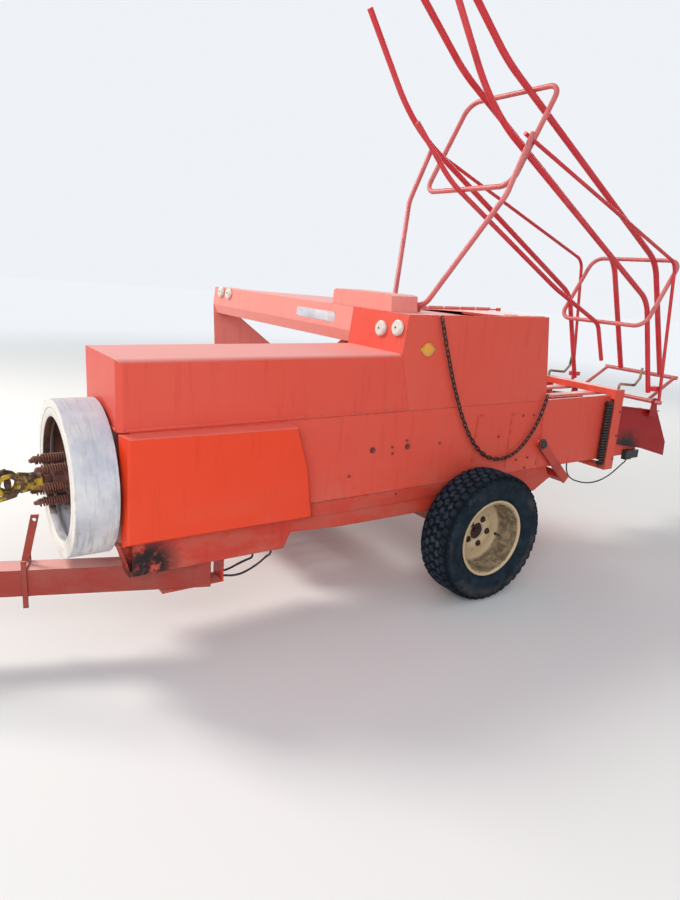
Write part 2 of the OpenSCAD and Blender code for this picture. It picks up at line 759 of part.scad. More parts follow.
module feed_floor() {
    y0 = chamber_w + seat;
    plan = [
        [floor_front, y0], [hood_rear, y0], [hood_rear, floor_far], [-380, floor_far],
        [-380, hood_end], [floor_front, hood_end]
    ];
    back = [
        [y0, floor_z - 10], [floor_far, floor_z - 10], [floor_far, 800], [1200, hood_low - seat],
        [y0, hood_low - seat]
    ];
    painted(faded_red) {
        plate_z(floor_z - 20, floor_z - seat, plan);
        plate_x(hood_rear - hood_t, hood_rear, back);
        block([-300, y0, 540], [-220, floor_far, floor_z - 20]);
        for (y = [pick_y0 - 24, pick_y1 + seat]) difference() {
            plate_y(y, y + 12, [[floor_front + 4, floor_z - 20], [-380, floor_z - 20], [-410, 515], [-460, 515]]);
            rod_y(lift_x, y - 1, y + 13, lift_z, 14 + run_gap);
        }
    }
}

module tension_frame() {
    x0 = tension_x;
    x1 = x0 + 80;
    painted(faded_red) {
        for (y = [-42, chamber_w + seat]) {
            difference() {
                block([x0, y, 555], [x1, y + 42 - seat, chamber_top]);
                block([x0 - 1, y + 8, 570], [x0 + 60, y + 34, chamber_top - 20]);
            }
        }
        block([x0, -42, chamber_top], [x1, chamber_w + 42, chamber_top + tension_beam]);
        block([x0, -42, 535], [x1, chamber_w + 42, 555]);
    }
    painted(faded_red) for (y = [0, chamber_w - wall_t]) {
        block([case_end + seat, y, chamber_z], [x0, y + wall_t, chamber_top]);
        block([x0, y, chamber_z], [1500, y + wall_t, 900]);
    }
    painted(faded_red) block([case_end + seat, wall_t, chamber_z], [1500, chamber_w - wall_t, chamber_z + wall_t]);
}

module tension_rails() {
    painted(faded_red) for (y = [110, 330])
        block([case_x + seat, y, chamber_top - 16], [1240, y + 60, chamber_top - seat]);
}

// A tension spring as a revolved stack of rounded turns
module tension_spring(y) {
    z0 = 575;
    pitch = (chamber_top - 30 - z0) / spring_turns;
    mean_r = spring_r - spring_wire;
    translate([tension_x - 30, y, z0]) rotate_extrude() {
        translate([mean_r - spring_wire / 2, spring_wire]) square([spring_wire, (spring_turns - 1) * pitch]);
        for (i = [0:spring_turns - 1]) translate([mean_r, spring_wire + i * pitch]) circle(spring_wire, $fn = 16);
    }
}

module tension_springs() {
    painted(dark_steel) {
        tension_spring(-25);
        tension_spring(chamber_w + 25);
    }
}

module tension_cranks() {
    z = chamber_top + tension_beam + seat;
    x = tension_x + 47;
    route = [[x, z], [x, z + 34], [x + 154, z + 19], [x + 202, z + 62], [x + 210, z + 126]];
    painted(rust) for (y = [-20, chamber_w + 20]) rail(y, route, [14, 22, 22], crank_r);
}

module chute_brackets() {
    x0 = tension_x + 92;
    outline = [[x0, 933], [1600, 888], [1735, 668], [1740, 575], [1500, 642], [x0, 688]];
    painted(deep_red) for (side = [0, 1]) translate([0, side * chamber_w, 0]) mirror([0, side, 0])
        difference() {
            union() {
                translate([x0, -seat, 0]) rotate([0, 0, -6]) translate([-x0, 0, 0]) {
                    plate_y(-6, 0, outline);
                    plate_y(-22, 0, [[x0, 933], [x0, 927], [1600, 882], [1600, 888]]);
                }
                rod_y(hinge_p[0], -62, -50, hinge_p[1], 24);
                plate_y(-62, -54, [[1490, 860], [1575, 860], [1552, 950], [1508, 950]]);
                plate_y(-62, -30, [[1490, 855], [1575, 850], [1575, 870], [1490, 875]]);
            }
            rod_y(hinge_p[0], -70, 20, hinge_p[1], hinge_r + run_gap);
        }
}

module reflectors() {
    lean = (housing_front - box_rear_high) / (housing_top - box_top);
    painted(off_white) for (p = [[2112, 1434], [1983, 1430], [190, 1379], [61, 1394]]) // Y, Z
        translate([housing_front - lean * (housing_top - p[1]), p[0], p[1]])
            rotate([0, atan(lean), 0]) rod_x(-22, -seat, 0, 0, 38);
    painted(yellow) rod_y(-357, -12, -seat, 1298, 33);
}

module tail_lamp() {
    painted(dark_steel) {
        block([1360, -34, 575], [1421, -seat, 636]);
        block([1421, -30, 579], [1496, -seat, 630]);
    }
}

module front_lead_upper() {
    painted(dark_steel) lead(front_lead_a, 5);
}

module front_lead_lower() {
    painted(dark_steel) lead(front_lead_b, 5);
}

module tail_lead() {
    painted(dark_steel) lead(tail_lead_pts, 4);
}

// One link: stations round its two ends, with a ring of points at each
module chain_link(middle, d, e, inner, sides = 5) {
    f = cross(d, e);
    round_r = chain_open / 2 + chain_wire;
    reach = inner / 2 - (round_r - chain_wire * cos(180 / sides)) * cos(30);
    stations = [for (end = [1, -1], k = [0:3]) [end * reach, k * 60 - end * 90]]; // place, angle
    points = [for (s = stations)
        let (n = d * cos(s[1]) + e * sin(s[1]))
        for (k = [0:sides - 1]) middle + d * s[0] + n * (round_r + chain_wire * cos(k * 360 / sides))
            - f * chain_wire * sin(k * 360 / sides)];
    last = len(stations);
    faces = [for (i = [0:last - 1], k = [0:sides - 1])
        let (m = (i + 1) % last, n = (k + 1) % sides)
        [i * sides + k, m * sides + k, m * sides + n, i * sides + n]];
    polyhedron(points, faces, convexity = 4);
}

// Interlocked links from one hook to the other, every second one turned by a quarter
module safety_chain() {
    hang = chain_hook_r + seat;
    step = (run_length(chain_pts) + 2 * hang - link_gap) / chain_links;
    inner = step + link_gap;
    painted(dark_steel) for (i = [0:chain_links - 1]) {
        run = link_gap / 2 - hang + i * step;
        a = eased(chain_pts, run, step);
        b = eased(chain_pts, run + step, step);
        d = unit(b - a);
        chain_link((a + b) / 2, d, i % 2 == 0 ? unit(cross([0, 1, 0], d)) : [0, 1, 0], inner);
    }
}

module flywheel() {
    hub_r = 75;
    bore = input_r + run_gap;
    painted(off_white) difference() {
        union() {
            translate([fly_front, mid_y, fly_z]) rotate([0, 90, 0]) rotate_extrude() polygon([
                [bore, 90], [fly_r - fly_rim, 90], [fly_r - fly_rim, 0], [fly_r, 0], [fly_r, fly_w],
                [fly_r - fly_rim, fly_w], [fly_r - fly_rim, 112], [hub_r, 112], [hub_r, fly_w - 5],
                [bore, fly_w - 5]
            ]);
        }
        for (i = [0:5]) translate([0, mid_y, fly_z]) rotate([i * 60, 0, 0])
            rod_x(fly_front + 80, fly_front + 120, 180, 0, 40);
    }
}

module slip_clutch() {
    x1 = fly_front + 90 - seat;
    x0 = fly_front - 20;
    painted(rust) {
        rod_x(x0 + 70, x1, mid_y, fly_z, clutch_r);
        rod_x(x0 + 30, x0 + 46, mid_y, fly_z, clutch_r - 6);
        rod_x(x0, x0 + 70, mid_y, fly_z, 42);
        for (i = [0:clutch_springs - 1]) translate([0, mid_y, fly_z]) rotate([i * 360 / clutch_springs, 0, 0]) {
            rod_x(x0 - 30, x0 + 75, 92, 0, 7);
            translate([x0 - 14, 92, 0]) rotate([0, 90, 0]) rotate_extrude() {
                translate([9, 0]) square([5, 44]);
                for (k = [0:4]) translate([14, 4 + k * 9]) circle(4, $fn = 16);
            }
            rod_x(x0 - 22, x0 - 14, 92, 0, 15);
        }
    }
}

// Yoke with two arms along Y, its joint at the origin and its shaft towards +X
module yoke(reach, half, eye, arm_t) {
    for (s = [-1, 1]) {
        translate([0, s * (half - arm_t / 2), 0]) {
            rod_y(0, -arm_t / 2, arm_t / 2, 0, eye);
            block([0, -arm_t / 2, -eye], [reach, arm_t / 2, eye]);
        }
    }
    block([reach - 14, -half, -eye], [reach, half, eye]);
}

module input_yoke() {
    painted(yellow) {
        translate(joint_p) {
            yoke(52, 34, 13, 12);
            rod_y(0, -24, 24, 0, 8);
            rod_z(0, 0, -24, 24, 8);
            rod_x(52, 155 - seat, 0, 0, 24);
        }
    }
}

module shaft_frame() {
    translate(joint_p) rotate([0, 0, -shaft_yaw]) rotate([0, -shaft_pitch, 0]) mirror([1, 0, 0]) children();
}

module drive_shaft() {
    length = shaft_l / cos(shaft_pitch);
    painted(yellow) shaft_frame() {
        rotate([90, 0, 0]) yoke(66, 58, 15, 13);
        rod_x(66, 130 - seat, 0, 0, 26);
        rod_x(length - 100 + seat, length - 60, 0, 0, 26);
        difference() {
            rod_x(length - 60, length, 0, 0, 36);
            rod_x(length - 50, length + 1, 0, 0, 18);
        }
    }
}

module shaft_guard() {
    length = shaft_l / cos(shaft_pitch);
    painted(dark_steel) shaft_frame() {
        rod_x(130, length * 0.55, 0, 0, guard_r);
        rod_x(length * 0.55, length - 100, 0, 0, guard_r - guard_step);
    }
}

// Places a piece of the drawbar: X forward along the beam from the swing pin, Y to its right
module on_drawbar() {
    translate([swing_x, swing_y, 0]) rotate([0, 0, -bar_angle]) mirror([1, 0, 0]) children();
}

module drawbar() {
    t = 8;
    half = bar_w / 2;
    painted(rusty_red) on_drawbar() difference() {
        union() {
            block([-bar_tail, -half, bar_z], [bar_l - 70, half, bar_top]);
            for (y = [-half - t, half]) block([565, y, bar_z - 50], [585, y + t, bar_top + 42]);
            for (z = [bar_z - t, bar_top]) block([565, -half, z], [585, half, z + t]);
            plate_y(20, 28, [[568, bar_top + t], [600, bar_top], [552, 606], [520, 606]]);
        }
        rod_y(540, 19, 29, 585, 8);
        rod_z(0, 0, bar_z - 1, bar_top + 1, swing_pin_r + run_gap);
        block([120, -bar_w / 2 + t, bar_z + t], [bar_l - 62, bar_w / 2 - t, bar_top - t]);
    }
}

module hitch_eye() {
    z = (bar_z + bar_top) / 2;
    x0 = bar_l - 70 + seat;
    painted(rust) on_drawbar() difference() {
        union() {
            block([x0, -bar_w / 2, bar_z], [x0 + 12, bar_w / 2, bar_top]);
            for (s = [-1, 1]) {
                block([x0 + 12, -36, z + s * 26 - 9], [bar_l, 36, z + s * 26 + 9]);
                rod_z(bar_l, 0, z + s * 26 - 9, z + s * 26 + 9, eye_r);
            }
        }
        rod_z(bar_l, 0, z - 60, z + 60, hitch_r);
    }
}

module shaft_rest() {
    half = 5;
    top = rest_z - (guard_r - guard_step) / cos(shaft_pitch) - half * shaft_slope - seat;
    painted(rusty_red) on_drawbar() {
        block([rest_x - half, -bar_w / 2, bar_top + seat], [rest_x + half, bar_w / 2, top]);
        block([rest_x - half, -150, top - 12], [rest_x + half, 110, top]);
        block([rest_x - half, -158, top - 12], [rest_x + half, -150, top + 60]);
    }
}

module jack_tube() {
    x = jack_x;
    y = -bar_w / 2 - seat - 12 - jack_r;
    painted(rusty_red) on_drawbar() {
        difference() {
            union() {
                rod_z(x, y, 240, 760, jack_r);
                block([x - 30, -bar_w / 2 - seat - 14, bar_z + 10], [x + 30, -bar_w / 2 - seat, bar_top - 10]);
            }
            rod_z(x, y, 239, 700, jack_r - 6);
        }
        rod_x(x - 110, x, y, 775, 9);
        rod_z(x, y, 760, 790, 16);
        rod_z(x - 110, y, 766, 830, 9);
    }
}

module jack_leg() {
    x = jack_x;
    y = -bar_w / 2 - seat - 12 - jack_r;
    painted(dark_steel) on_drawbar() {
        rod_z(x, y, 10, 550, jack_r - 6 - 0.5);
        rod_z(x, y, 0, 12, 70);
    }
}

module pickup_frame() {
    side = [
        [lift_x + 26, lift_z - 20], [lift_x + 26, lift_z + 20], [lift_x, lift_z + 30],
        [pick_back, reel_z + band_r + 3], [reel_x, reel_z + band_r + 3], [reel_x - 130, reel_z + 130],
        [reel_x - 185, reel_z + 40], [reel_x - 185, reel_z - 40], [reel_x - 130, reel_z - 130],
        [reel_x, reel_z - band_r], [pick_back, reel_z - band_r], [lift_x, lift_z - 40]
    ];
    painted(faded_red) {
        for (y = [pick_y0, pick_y1 - side_t]) difference() {
            plate_y(y, y + side_t, side);
            rod_y(reel_x, y - 1, y + side_t + 1, reel_z, 20 + run_gap);
        }
        for (y = [pick_y0 - 24, pick_y1]) rod_y(lift_x, y, y + 24, lift_z, 14);
        block([pick_back, pick_y0, reel_z - band_r], [pick_back + 8, pick_y1, reel_z + band_r]);
        for (i = [0:tine_pairs]) {
            mid = (pick_y0 + pick_y1) / 2;
            y = mid + (i - tine_pairs / 2) * tine_pitch;
            translate([reel_x, y - 26, reel_z]) rotate([-90, 0, 0]) rotate([0, 0, 90])
                rotate_extrude(angle = 180) translate([band_r - 3, 0]) square([3, 52]);
            block([reel_x, y - 26, reel_z + band_r - 3], [pick_back, y + 26, reel_z + band_r]);
            block([reel_x, y - 26, reel_z - band_r], [pick_back, y + 26, reel_z - band_r + 3]);
        }
        rod_y(-760, pick_y1, 2175, 280, 10);
        plate_y(pick_y1, pick_y1 + 8, [[-790, 260], [-730, 260], [-745, 400], [-775, 400]]);
        for (y = [pick_y0 + side_t, pick_y1 - side_t - 10]) difference() {
            plate_y(y, y + 10, [[-600, 590], [-560, 590], [-575, 772], [-625, 772]]);
            rod_y(guard_p[0], y - 1, y + 11, guard_p[1], guard_pin_r + run_gap);
        }
    }
}

module wind_guard() {
    mid = (pick_y0 + pick_y1) / 2;
    painted(deep_red) {
        rod_y(guard_p[0], pick_y0 + side_t + 1, pick_y1 - side_t - 1, guard_p[1], guard_pin_r);
        for (i = [0:tine_pairs - 1]) {
            y = mid + (i - (tine_pairs - 1) / 2) * tine_pitch;
            rail(y, [guard_p, [-900, 730], [-1180, 640]], 120, 5);
        }
    }
}

module tine_reel() {
    bar_at = 130;
    tine_wire = 4;
    mid = (pick_y0 + pick_y1) / 2;
    painted(dark_steel) translate([reel_x, 0, reel_z]) {
        rod_y(0, pick_y0 - 4, pick_y1 + 4, 0, 20);
        for (y = [pick_y0 + 20, pick_y1 - 28]) rod_y(0, y, y + 8, 0, bar_at + 18);
        for (b = [0:tine_bars - 1]) rotate([0, b * 360 / tine_bars, 0]) {
            rod_y(bar_at, pick_y0 + 28, pick_y1 - 28, 0, 12);
            for (i = [0:tine_pairs - 1], s = [-1, 1]) {
                y = mid + (i - (tine_pairs - 1) / 2) * tine_pitch + s * 26;
                rod_x(bar_at, 206, y, 0, tine_wire);
                translate([204, y, 0]) rotate([0, 20, 0]) rod_x(0, tine_r - 206, 0, 0, tine_wire);
            }
        }
    }
}

module gauge_wheel() {
    painted(rubber) translate([-760, 2090, 280]) rotate([-90, 0, 0]) rotate_extrude() {
        translate([10 + run_gap, 5]) square([20, 70]);
        translate([20, 34]) square([gauge_r - 60, 12]);
        translate([gauge_r - 52, 0]) round_rect(52, 80, 22);
    }
}

module needle_yoke() {
    p = needle_p;
    out = 30;
    back = 43;
    sweep = 106;
    painted(rusty_red) {
        for (y = [-out, chamber_w + out - 14]) {
            difference() {
                translate([p[0], y, p[1]]) rotate([0, back, 0])
                    block([0, 0, -26], [needle_r + 22, 14, 26]);
                rod_y(p[0], y - 1, y + 15, p[1], needle_pin_r + run_gap);
            }
        }
        translate([p[0], 0, p[1]]) rotate([0, back, 0])
            block([needle_r - 22, -out, -22], [needle_r + 22, chamber_w + out, 22]);
        for (s = [-1, 1])
            translate([p[0], mid_y + s * needle_gap / 2 - needle_w / 2, p[1]]) rotate([-90, 0, 0])
                rotate([0, 0, back]) rotate_extrude(angle = sweep)
                    translate([needle_r - 16, 0]) square([32, needle_w]);
    }
}

// Hoop across the chute between a rear place and a front place
module hoop(ends) {
    a = ends[0];
    b = ends[1];
    mid = (a + b) / 2;
    tilt = heading(a - b);
    translate([mid[0], mid_y, mid[1]]) rotate([0, -tilt, 0])
        ring_bar(norm(a - b), hoop_w, hoop_bend, hoop_r);
}

// Hinge shaft with the bow that carries the floor rails
module chute_base() {
    arm = bow_p - hinge_p;
    arm_y = side_y - side_r - bow_r - 1;
    painted(deep_red) {
        rod_y(hinge_p[0], mid_y - shaft_end, mid_y + shaft_end, hinge_p[1], hinge_r);
        for (s = [-1, 1]) translate([hinge_p[0], mid_y + s * arm_y, hinge_p[1]])
            rotate([0, -heading(arm), 0]) rod_x(0, norm(arm), 0, 0, bow_r - 2);
        rod_y(bow_p[0], mid_y - arm_y - bow_r - 3, mid_y + arm_y + bow_r + 3, bow_p[1], bow_r + 1);
    }
}

module chute_hoops() {
    painted(deep_red) {
        hoop(hoop_a);
        hoop(hoop_b);
    }
}

module chute_floor_rails() {
    painted(deep_red) for (s = [-1, 1]) rail(mid_y + s * floor_gap / 2, floor_rail_pts, floor_bends, floor_rail_r);
}

module chute_corner_rails() {
    painted(deep_red) for (s = [-1, 1]) rail(mid_y + s * corner_y, corner_rail_pts, rail_bend, rail_r);
}

module chute_side_rails() {
    painted(deep_red) for (s = [-1, 1]) {
        y = [mid_y + s * side_y, mid_y + s * (corner_y - rail_r - seat)];
        rail(mid_y + s * side_y, side_rail_pts, side_bends, side_r);
        block([1464, min(y), 1022], [1532, max(y), 1050]);
    }
}

module chute_top_rail() {
    painted(deep_red) rail(mid_y, top_rail_pts, top_bends, top_r);
}

module chute_stay() {
    d = stay_top - stay_foot;
    top = norm(d) + stay_r;
    knee = norm(d) * 0.66;
    base = 123;
    route = [[top, -stay_y], [knee, -stay_y], [0, -base], [0, base], [knee, stay_y], [top, stay_y]];
    painted(deep_red) translate([stay_foot[0], mid_y, stay_foot[1]]) rotate([0, -heading(d), 0])
        bent_bar(route, [150, 70, 70, 150], stay_r);
}

frame_rails();
bale_chamber();
bale_case();
axle();
drawbar_bracket();
front_box();
side_guard();
gearbox();
plunger();
twine_housing();
knotters();
housing_lid();
feeder_hood();
hood_cap();
feeder_fork();
feed_floor();
tension_frame();
tension_rails();
tension_springs();
tension_cranks();
chute_brackets();
reflectors();
tail_lamp();
front_lead_upper();
front_lead_lower();
tail_lead();
safety_chain();
left_rim();
left_tyre();
right_rim();
right_tyre();
flywheel();
slip_clutch();
input_yoke();
drive_shaft();
shaft_guard();
drawbar();
hitch_eye();
shaft_rest();
jack_tube();
jack_leg();
pickup_frame();
wind_guard();
tine_reel();
gauge_wheel();
needle_yoke();
chute_base();
chute_hoops();
chute_floor_rails();
chute_corner_rails();
chute_side_rails();
chute_top_rail();
chute_stay();
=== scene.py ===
import json
import math

import bpy
from mathutils import Matrix, Vector


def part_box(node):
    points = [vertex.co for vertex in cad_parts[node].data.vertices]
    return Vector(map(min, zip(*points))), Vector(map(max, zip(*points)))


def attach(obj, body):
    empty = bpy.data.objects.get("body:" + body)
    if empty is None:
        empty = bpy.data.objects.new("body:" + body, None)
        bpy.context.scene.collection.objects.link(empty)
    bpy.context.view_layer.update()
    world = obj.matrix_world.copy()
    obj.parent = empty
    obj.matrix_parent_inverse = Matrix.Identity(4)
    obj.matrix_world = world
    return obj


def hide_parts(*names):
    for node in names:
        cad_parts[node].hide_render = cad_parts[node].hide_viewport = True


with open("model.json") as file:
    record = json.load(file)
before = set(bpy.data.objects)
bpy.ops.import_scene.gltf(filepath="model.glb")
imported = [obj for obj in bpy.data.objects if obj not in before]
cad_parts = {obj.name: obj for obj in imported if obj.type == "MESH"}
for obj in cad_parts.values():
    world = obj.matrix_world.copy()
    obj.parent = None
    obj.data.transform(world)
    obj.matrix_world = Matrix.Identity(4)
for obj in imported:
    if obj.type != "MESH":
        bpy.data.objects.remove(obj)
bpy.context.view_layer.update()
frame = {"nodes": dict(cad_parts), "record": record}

bl_info = {
    "name": "Square baler looks",
    "version": (1, 0, 0),
    "blender": (4, 5, 0),
    "location": "3D View > Sidebar > Baler",
    "description": "Finishes and small pieces of a parked square baler over its packed frame",
    "category": "Object",
}


class Box:
    """The corners of a CAD node at rest."""

    def __init__(self, node):
        self.low, self.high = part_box(node)
        self.mid = (self.low + self.high) / 2
        self.size = self.high - self.low


TYRE = Box("left_tyre")
FAR_TYRE = Box("right_tyre")
CASE = Box("bale_case")
FLYWHEEL = Box("flywheel")

# Places in this file run from the wheel axle, the near side of the chamber and the ground
DATUM = Vector((TYRE.mid.x, CASE.low.y, 0))


def at(x, y, z):
    """A place in metres from the axle, the chamber's near side and the ground."""
    return DATUM + Vector((x, y, z))


# Camera of the photograph, from the axle, the chamber's near side and the ground
CAMERA_PLACE = (-2.5686, -2.5517, 1.6593)
CAMERA_YAW = 34.272
CAMERA_PITCH = 14.860
CAMERA_ROLL = 3.645
CAMERA_LENS = 27.62
CAMERA_FILM = 36

# What the camera sees behind the object and on the far floor
BACKGROUND = (0.86, 0.89, 0.93)

# Radius inside which the flywheel's rim and its front ring are painted rust-brown above a jagged line, as
# painted shadow
RIM_BORE = 0.2878
RING_BORE = 0.2512

# The hood's face leans back by this run over this rise
FACE_RUN = 0.015
FACE_RISE = 0.122
FACE_LEAN = math.atan2(FACE_RUN, FACE_RISE)

# Small holes round the disc of a rim, and the wheel nuts
DISC_HOLES = 10
HOLE_CIRCLE = 0.107
HOLE_RADIUS = 0.0045
WHEEL_NUTS = 5
NUT_CIRCLE = 0.070

# Springs round the slip clutch
CLUTCH_SPRINGS = 8
SPRING_CIRCLE = 0.092

# Routes of the loose leads, as in the part's source, in metres
FRONT_LEAD_UPPER = [
    (-1.3677, 0.100, 0.300), (-1.358, 0.100, 0.300), (-1.349, 0.099, 0.301), (-1.340, 0.096, 0.304),
    (-1.331, 0.091, 0.309), (-1.323, 0.084, 0.316), (-1.315, 0.076, 0.324), (-1.307, 0.067, 0.333),
    (-1.299, 0.057, 0.342), (-1.291, 0.047, 0.351), (-1.283, 0.036, 0.360), (-1.275, 0.026, 0.368),
    (-1.268, 0.016, 0.376), (-1.263, 0.008, 0.384), (-1.262, 0.005, 0.3925), (-1.262, 0.005, 0.4017),
]
FRONT_LEAD_LOWER = [
    (-1.3677, 0.100, 0.275), (-1.358, 0.100, 0.275), (-1.345, 0.098, 0.2735), (-1.331, 0.094, 0.272),
    (-1.317, 0.089, 0.272), (-1.303, 0.083, 0.274), (-1.289, 0.077, 0.278), (-1.275, 0.070, 0.2845),
    (-1.261, 0.063, 0.293), (-1.247, 0.056, 0.303), (-1.233, 0.048, 0.315), (-1.219, 0.040, 0.328),
    (-1.206, 0.032, 0.342), (-1.194, 0.024, 0.357), (-1.183, 0.016, 0.371), (-1.174, 0.0085, 0.381),
    (-1.171, 0.005, 0.3915), (-1.171, 0.005, 0.4017),
]
TAIL_LEAD = [
    (1.395, -0.015, 0.5747), (1.395, -0.015, 0.565), (1.388, -0.014, 0.556), (1.362, -0.013, 0.542),
    (1.320, -0.012, 0.516), (1.270, -0.010, 0.488), (1.215, -0.008, 0.466), (1.150, -0.006, 0.452),
    (1.085, -0.004, 0.448), (1.028, 0.000, 0.453), (0.970, 0.006, 0.466), (0.915, 0.010, 0.486),
    (0.870, 0.010, 0.515), (0.845, 0.010, 0.555), (0.838, 0.010, 0.590), (0.838, 0.010, 0.5997),
]
# Route of the safety chain over the near side, X and Z
CHAIN_ROUTE = [
    (-0.298, 1.452), (-0.271, 1.370), (-0.225, 1.245), (-0.174, 1.115), (-0.110, 0.977), (-0.054, 0.880),
    (-0.002, 0.812), (0.052, 0.758), (0.109, 0.720), (0.170, 0.697), (0.229, 0.691), (0.290, 0.700),
    (0.345, 0.722), (0.396, 0.760), (0.447, 0.815), (0.488, 0.876), (0.522, 0.950), (0.545, 1.030),
]
CHAIN_LINKS = 51


class BalerSizes(bpy.types.PropertyGroup):
    """Sizes that a user may change."""

    block_height: bpy.props.FloatProperty(
        name="Block height", description="Height of the tyres' tread blocks", default=0.010,
        min=0.004, max=0.02, unit="LENGTH")
    block_count: bpy.props.IntProperty(
        name="Blocks", description="Number of blocks round each row of the tread", default=42,
        min=30, max=60)
    bolt_width: bpy.props.FloatProperty(
        name="Bolt width", description="Width of a hexagon bolt head across its corners", default=0.019,
        min=0.01, max=0.03, unit="LENGTH")
    edge_wear: bpy.props.FloatProperty(
        name="Edge wear", description="How far paint is worn along the edges of sheet metal", default=0.007,
        min=0.001, max=0.02, unit="LENGTH")


class BalerColours(bpy.types.PropertyGroup):
    """Paints that a user may change."""

    panel_red: bpy.props.FloatVectorProperty(
        name="Panel red", description="Faded paint of the sheet metal", default=(0.72, 0.078, 0.046),
        subtype="COLOR", min=0, max=1)
    tube_red: bpy.props.FloatVectorProperty(
        name="Tube red", description="Darker paint of the wagon chute", default=(0.62, 0.028, 0.038),
        subtype="COLOR", min=0, max=1)
    hoop_red: bpy.props.FloatVectorProperty(
        name="Hoop red", description="Faded paint of the chute's hoops and stay",
        default=(0.60, 0.125, 0.120), subtype="COLOR", min=0, max=1)
    beam_red: bpy.props.FloatVectorProperty(
        name="Beam red", description="Worn paint of the drawbar and axle", default=(0.33, 0.036, 0.024),
        subtype="COLOR", min=0, max=1)
    rim_tan: bpy.props.FloatVectorProperty(
        name="Rim tan", description="Aged paint of the rims", default=(0.56, 0.41, 0.235),
        subtype="COLOR", min=0, max=1)
    rust: bpy.props.FloatVectorProperty(
        name="Rust", description="Rusted iron", default=(0.115, 0.038, 0.022),
        subtype="COLOR", min=0, max=1)
    dust: bpy.props.FloatVectorProperty(
        name="Dust", description="Dry dust and mud", default=(0.42, 0.33, 0.23),
        subtype="COLOR", min=0, max=1)


class Flow:
    """A socket of a material, so that sums and products of patterns can be written out."""

    def __init__(self, finish, socket):
        self.finish = finish
        self.socket = socket

    def maths(self, operation, first, second):
        return self.finish.add("ShaderNodeMath", {"operation": operation}, {0: first, 1: second})

    def __add__(self, other):
        return self.maths("ADD", self, other)

    def __radd__(self, other):
        return self.maths("ADD", other, self)

    def __sub__(self, other):
        return self.maths("SUBTRACT", self, other)

    def __rsub__(self, other):
        return self.maths("SUBTRACT", other, self)

    def __mul__(self, other):
        return self.maths("MULTIPLY", self, other)

    def __rmul__(self, other):
        return self.maths("MULTIPLY", other, self)

    def most(self, other):
        return self.maths("MAXIMUM", self, other)

    def step(self, low, high):
        """From 0 below low to 1 above high, or the other way round, smoothly."""
        return self.finish.add(
            "ShaderNodeMapRange", {"interpolation_type": "SMOOTHSTEP"},
            {"Value": self, "From Min": low, "From Max": high, "To Min": 0.0, "To Max": 1.0})


class Finish:
    """A material, built from patterns on object coordinates.

    Its name starts with aged_, because the frame brings plain materials under the slots' own names.
    """

    def __init__(self, name):
        self.material = bpy.data.materials.new("aged_" + name)
        self.material.use_nodes = True
        self.tree = self.material.node_tree
        self.shader = self.tree.nodes["Principled BSDF"]
        self.place = self.add("ShaderNodeTexCoord", out="Object")

    def add(self, kind, settings=None, values=None, out=0):
        node = self.tree.nodes.new(kind)
        for key, value in (settings or {}).items():
            setattr(node, key, value)
        for key, value in (values or {}).items():
            if isinstance(value, Flow):
                self.tree.links.new(value.socket, node.inputs[key])
            else:
                node.inputs[key].default_value = value
        return Flow(self, node.outputs[out])

    def set(self, **values):
        for key, value in values.items():
            socket = self.shader.inputs[key.replace("_", " ")]
            if isinstance(value, Flow):
                self.tree.links.new(value.socket, socket)
            else:
                socket.default_value = value

    def spot(self, stretch=(1, 1, 1), shift=(0, 0, 0)):
        """Object coordinates, stretched and shifted."""
        return self.add(
            "ShaderNodeMapping", None, {"Vector": self.place, "Scale": stretch, "Location": shift})

    def noise(self, scale, detail=4.0, rough=0.55, stretch=(1, 1, 1), shift=(0, 0, 0)):
        return self.add(
            "ShaderNodeTexNoise", None,
            {"Vector": self.spot(stretch, shift), "Scale": scale, "Detail": detail, "Roughness": rough})

    def cells(self, scale):
        return self.add(
            "ShaderNodeTexVoronoi", None, {"Vector": self.spot(), "Scale": scale})

    def mix(self, first, second, share):
        """Colour between two colours."""
        return self.add(
            "ShaderNodeMix", {"data_type": "RGBA"}, {0: share, 6: colour(first), 7: colour(second)}, out=2)

    def edges(self, width):
        """Near 1 along the edges of a sheet or casting."""
        rounded = self.add("ShaderNodeBevel", {"samples": 4}, {"Radius": width})
        flat = self.add("ShaderNodeNewGeometry", out="True Normal")
        along = self.add(
            "ShaderNodeVectorMath", {"operation": "DOT_PRODUCT"}, {0: rounded, 1: flat}, out="Value")
        return (1.0 - along).step(0.02, 0.22)

    def height(self):
        return self.add("ShaderNodeSeparateXYZ", None, {0: self.place}, out="Z")

    def distance(self, centre=(0, 0, 0), axes=(1, 1, 1)):
        """Distance from a place, along the axes that are 1."""
        shift = [-c * a for c, a in zip(centre, axes)]
        return self.add(
            "ShaderNodeVectorMath", {"operation": "LENGTH"}, {0: self.spot(axes, shift)}, out="Value")

    def upward(self):
        """1 on faces that look up."""
        flat = self.add("ShaderNodeTexCoord", out="Normal")
        return self.add("ShaderNodeSeparateXYZ", None, {0: flat}, out="Z").step(0.35, 0.95)

    def bump(self, height, strength, distance, soften=0.0):
        values = {"Height": height, "Strength": strength, "Distance": distance}
        if soften:
            values["Normal"] = self.add("ShaderNodeBevel", {"samples": 4}, {"Radius": soften})
        self.set(Normal=self.add("ShaderNodeBump", None, values))


def colour(value):
    return value if isinstance(value, Flow) else (*value[:3], 1.0)


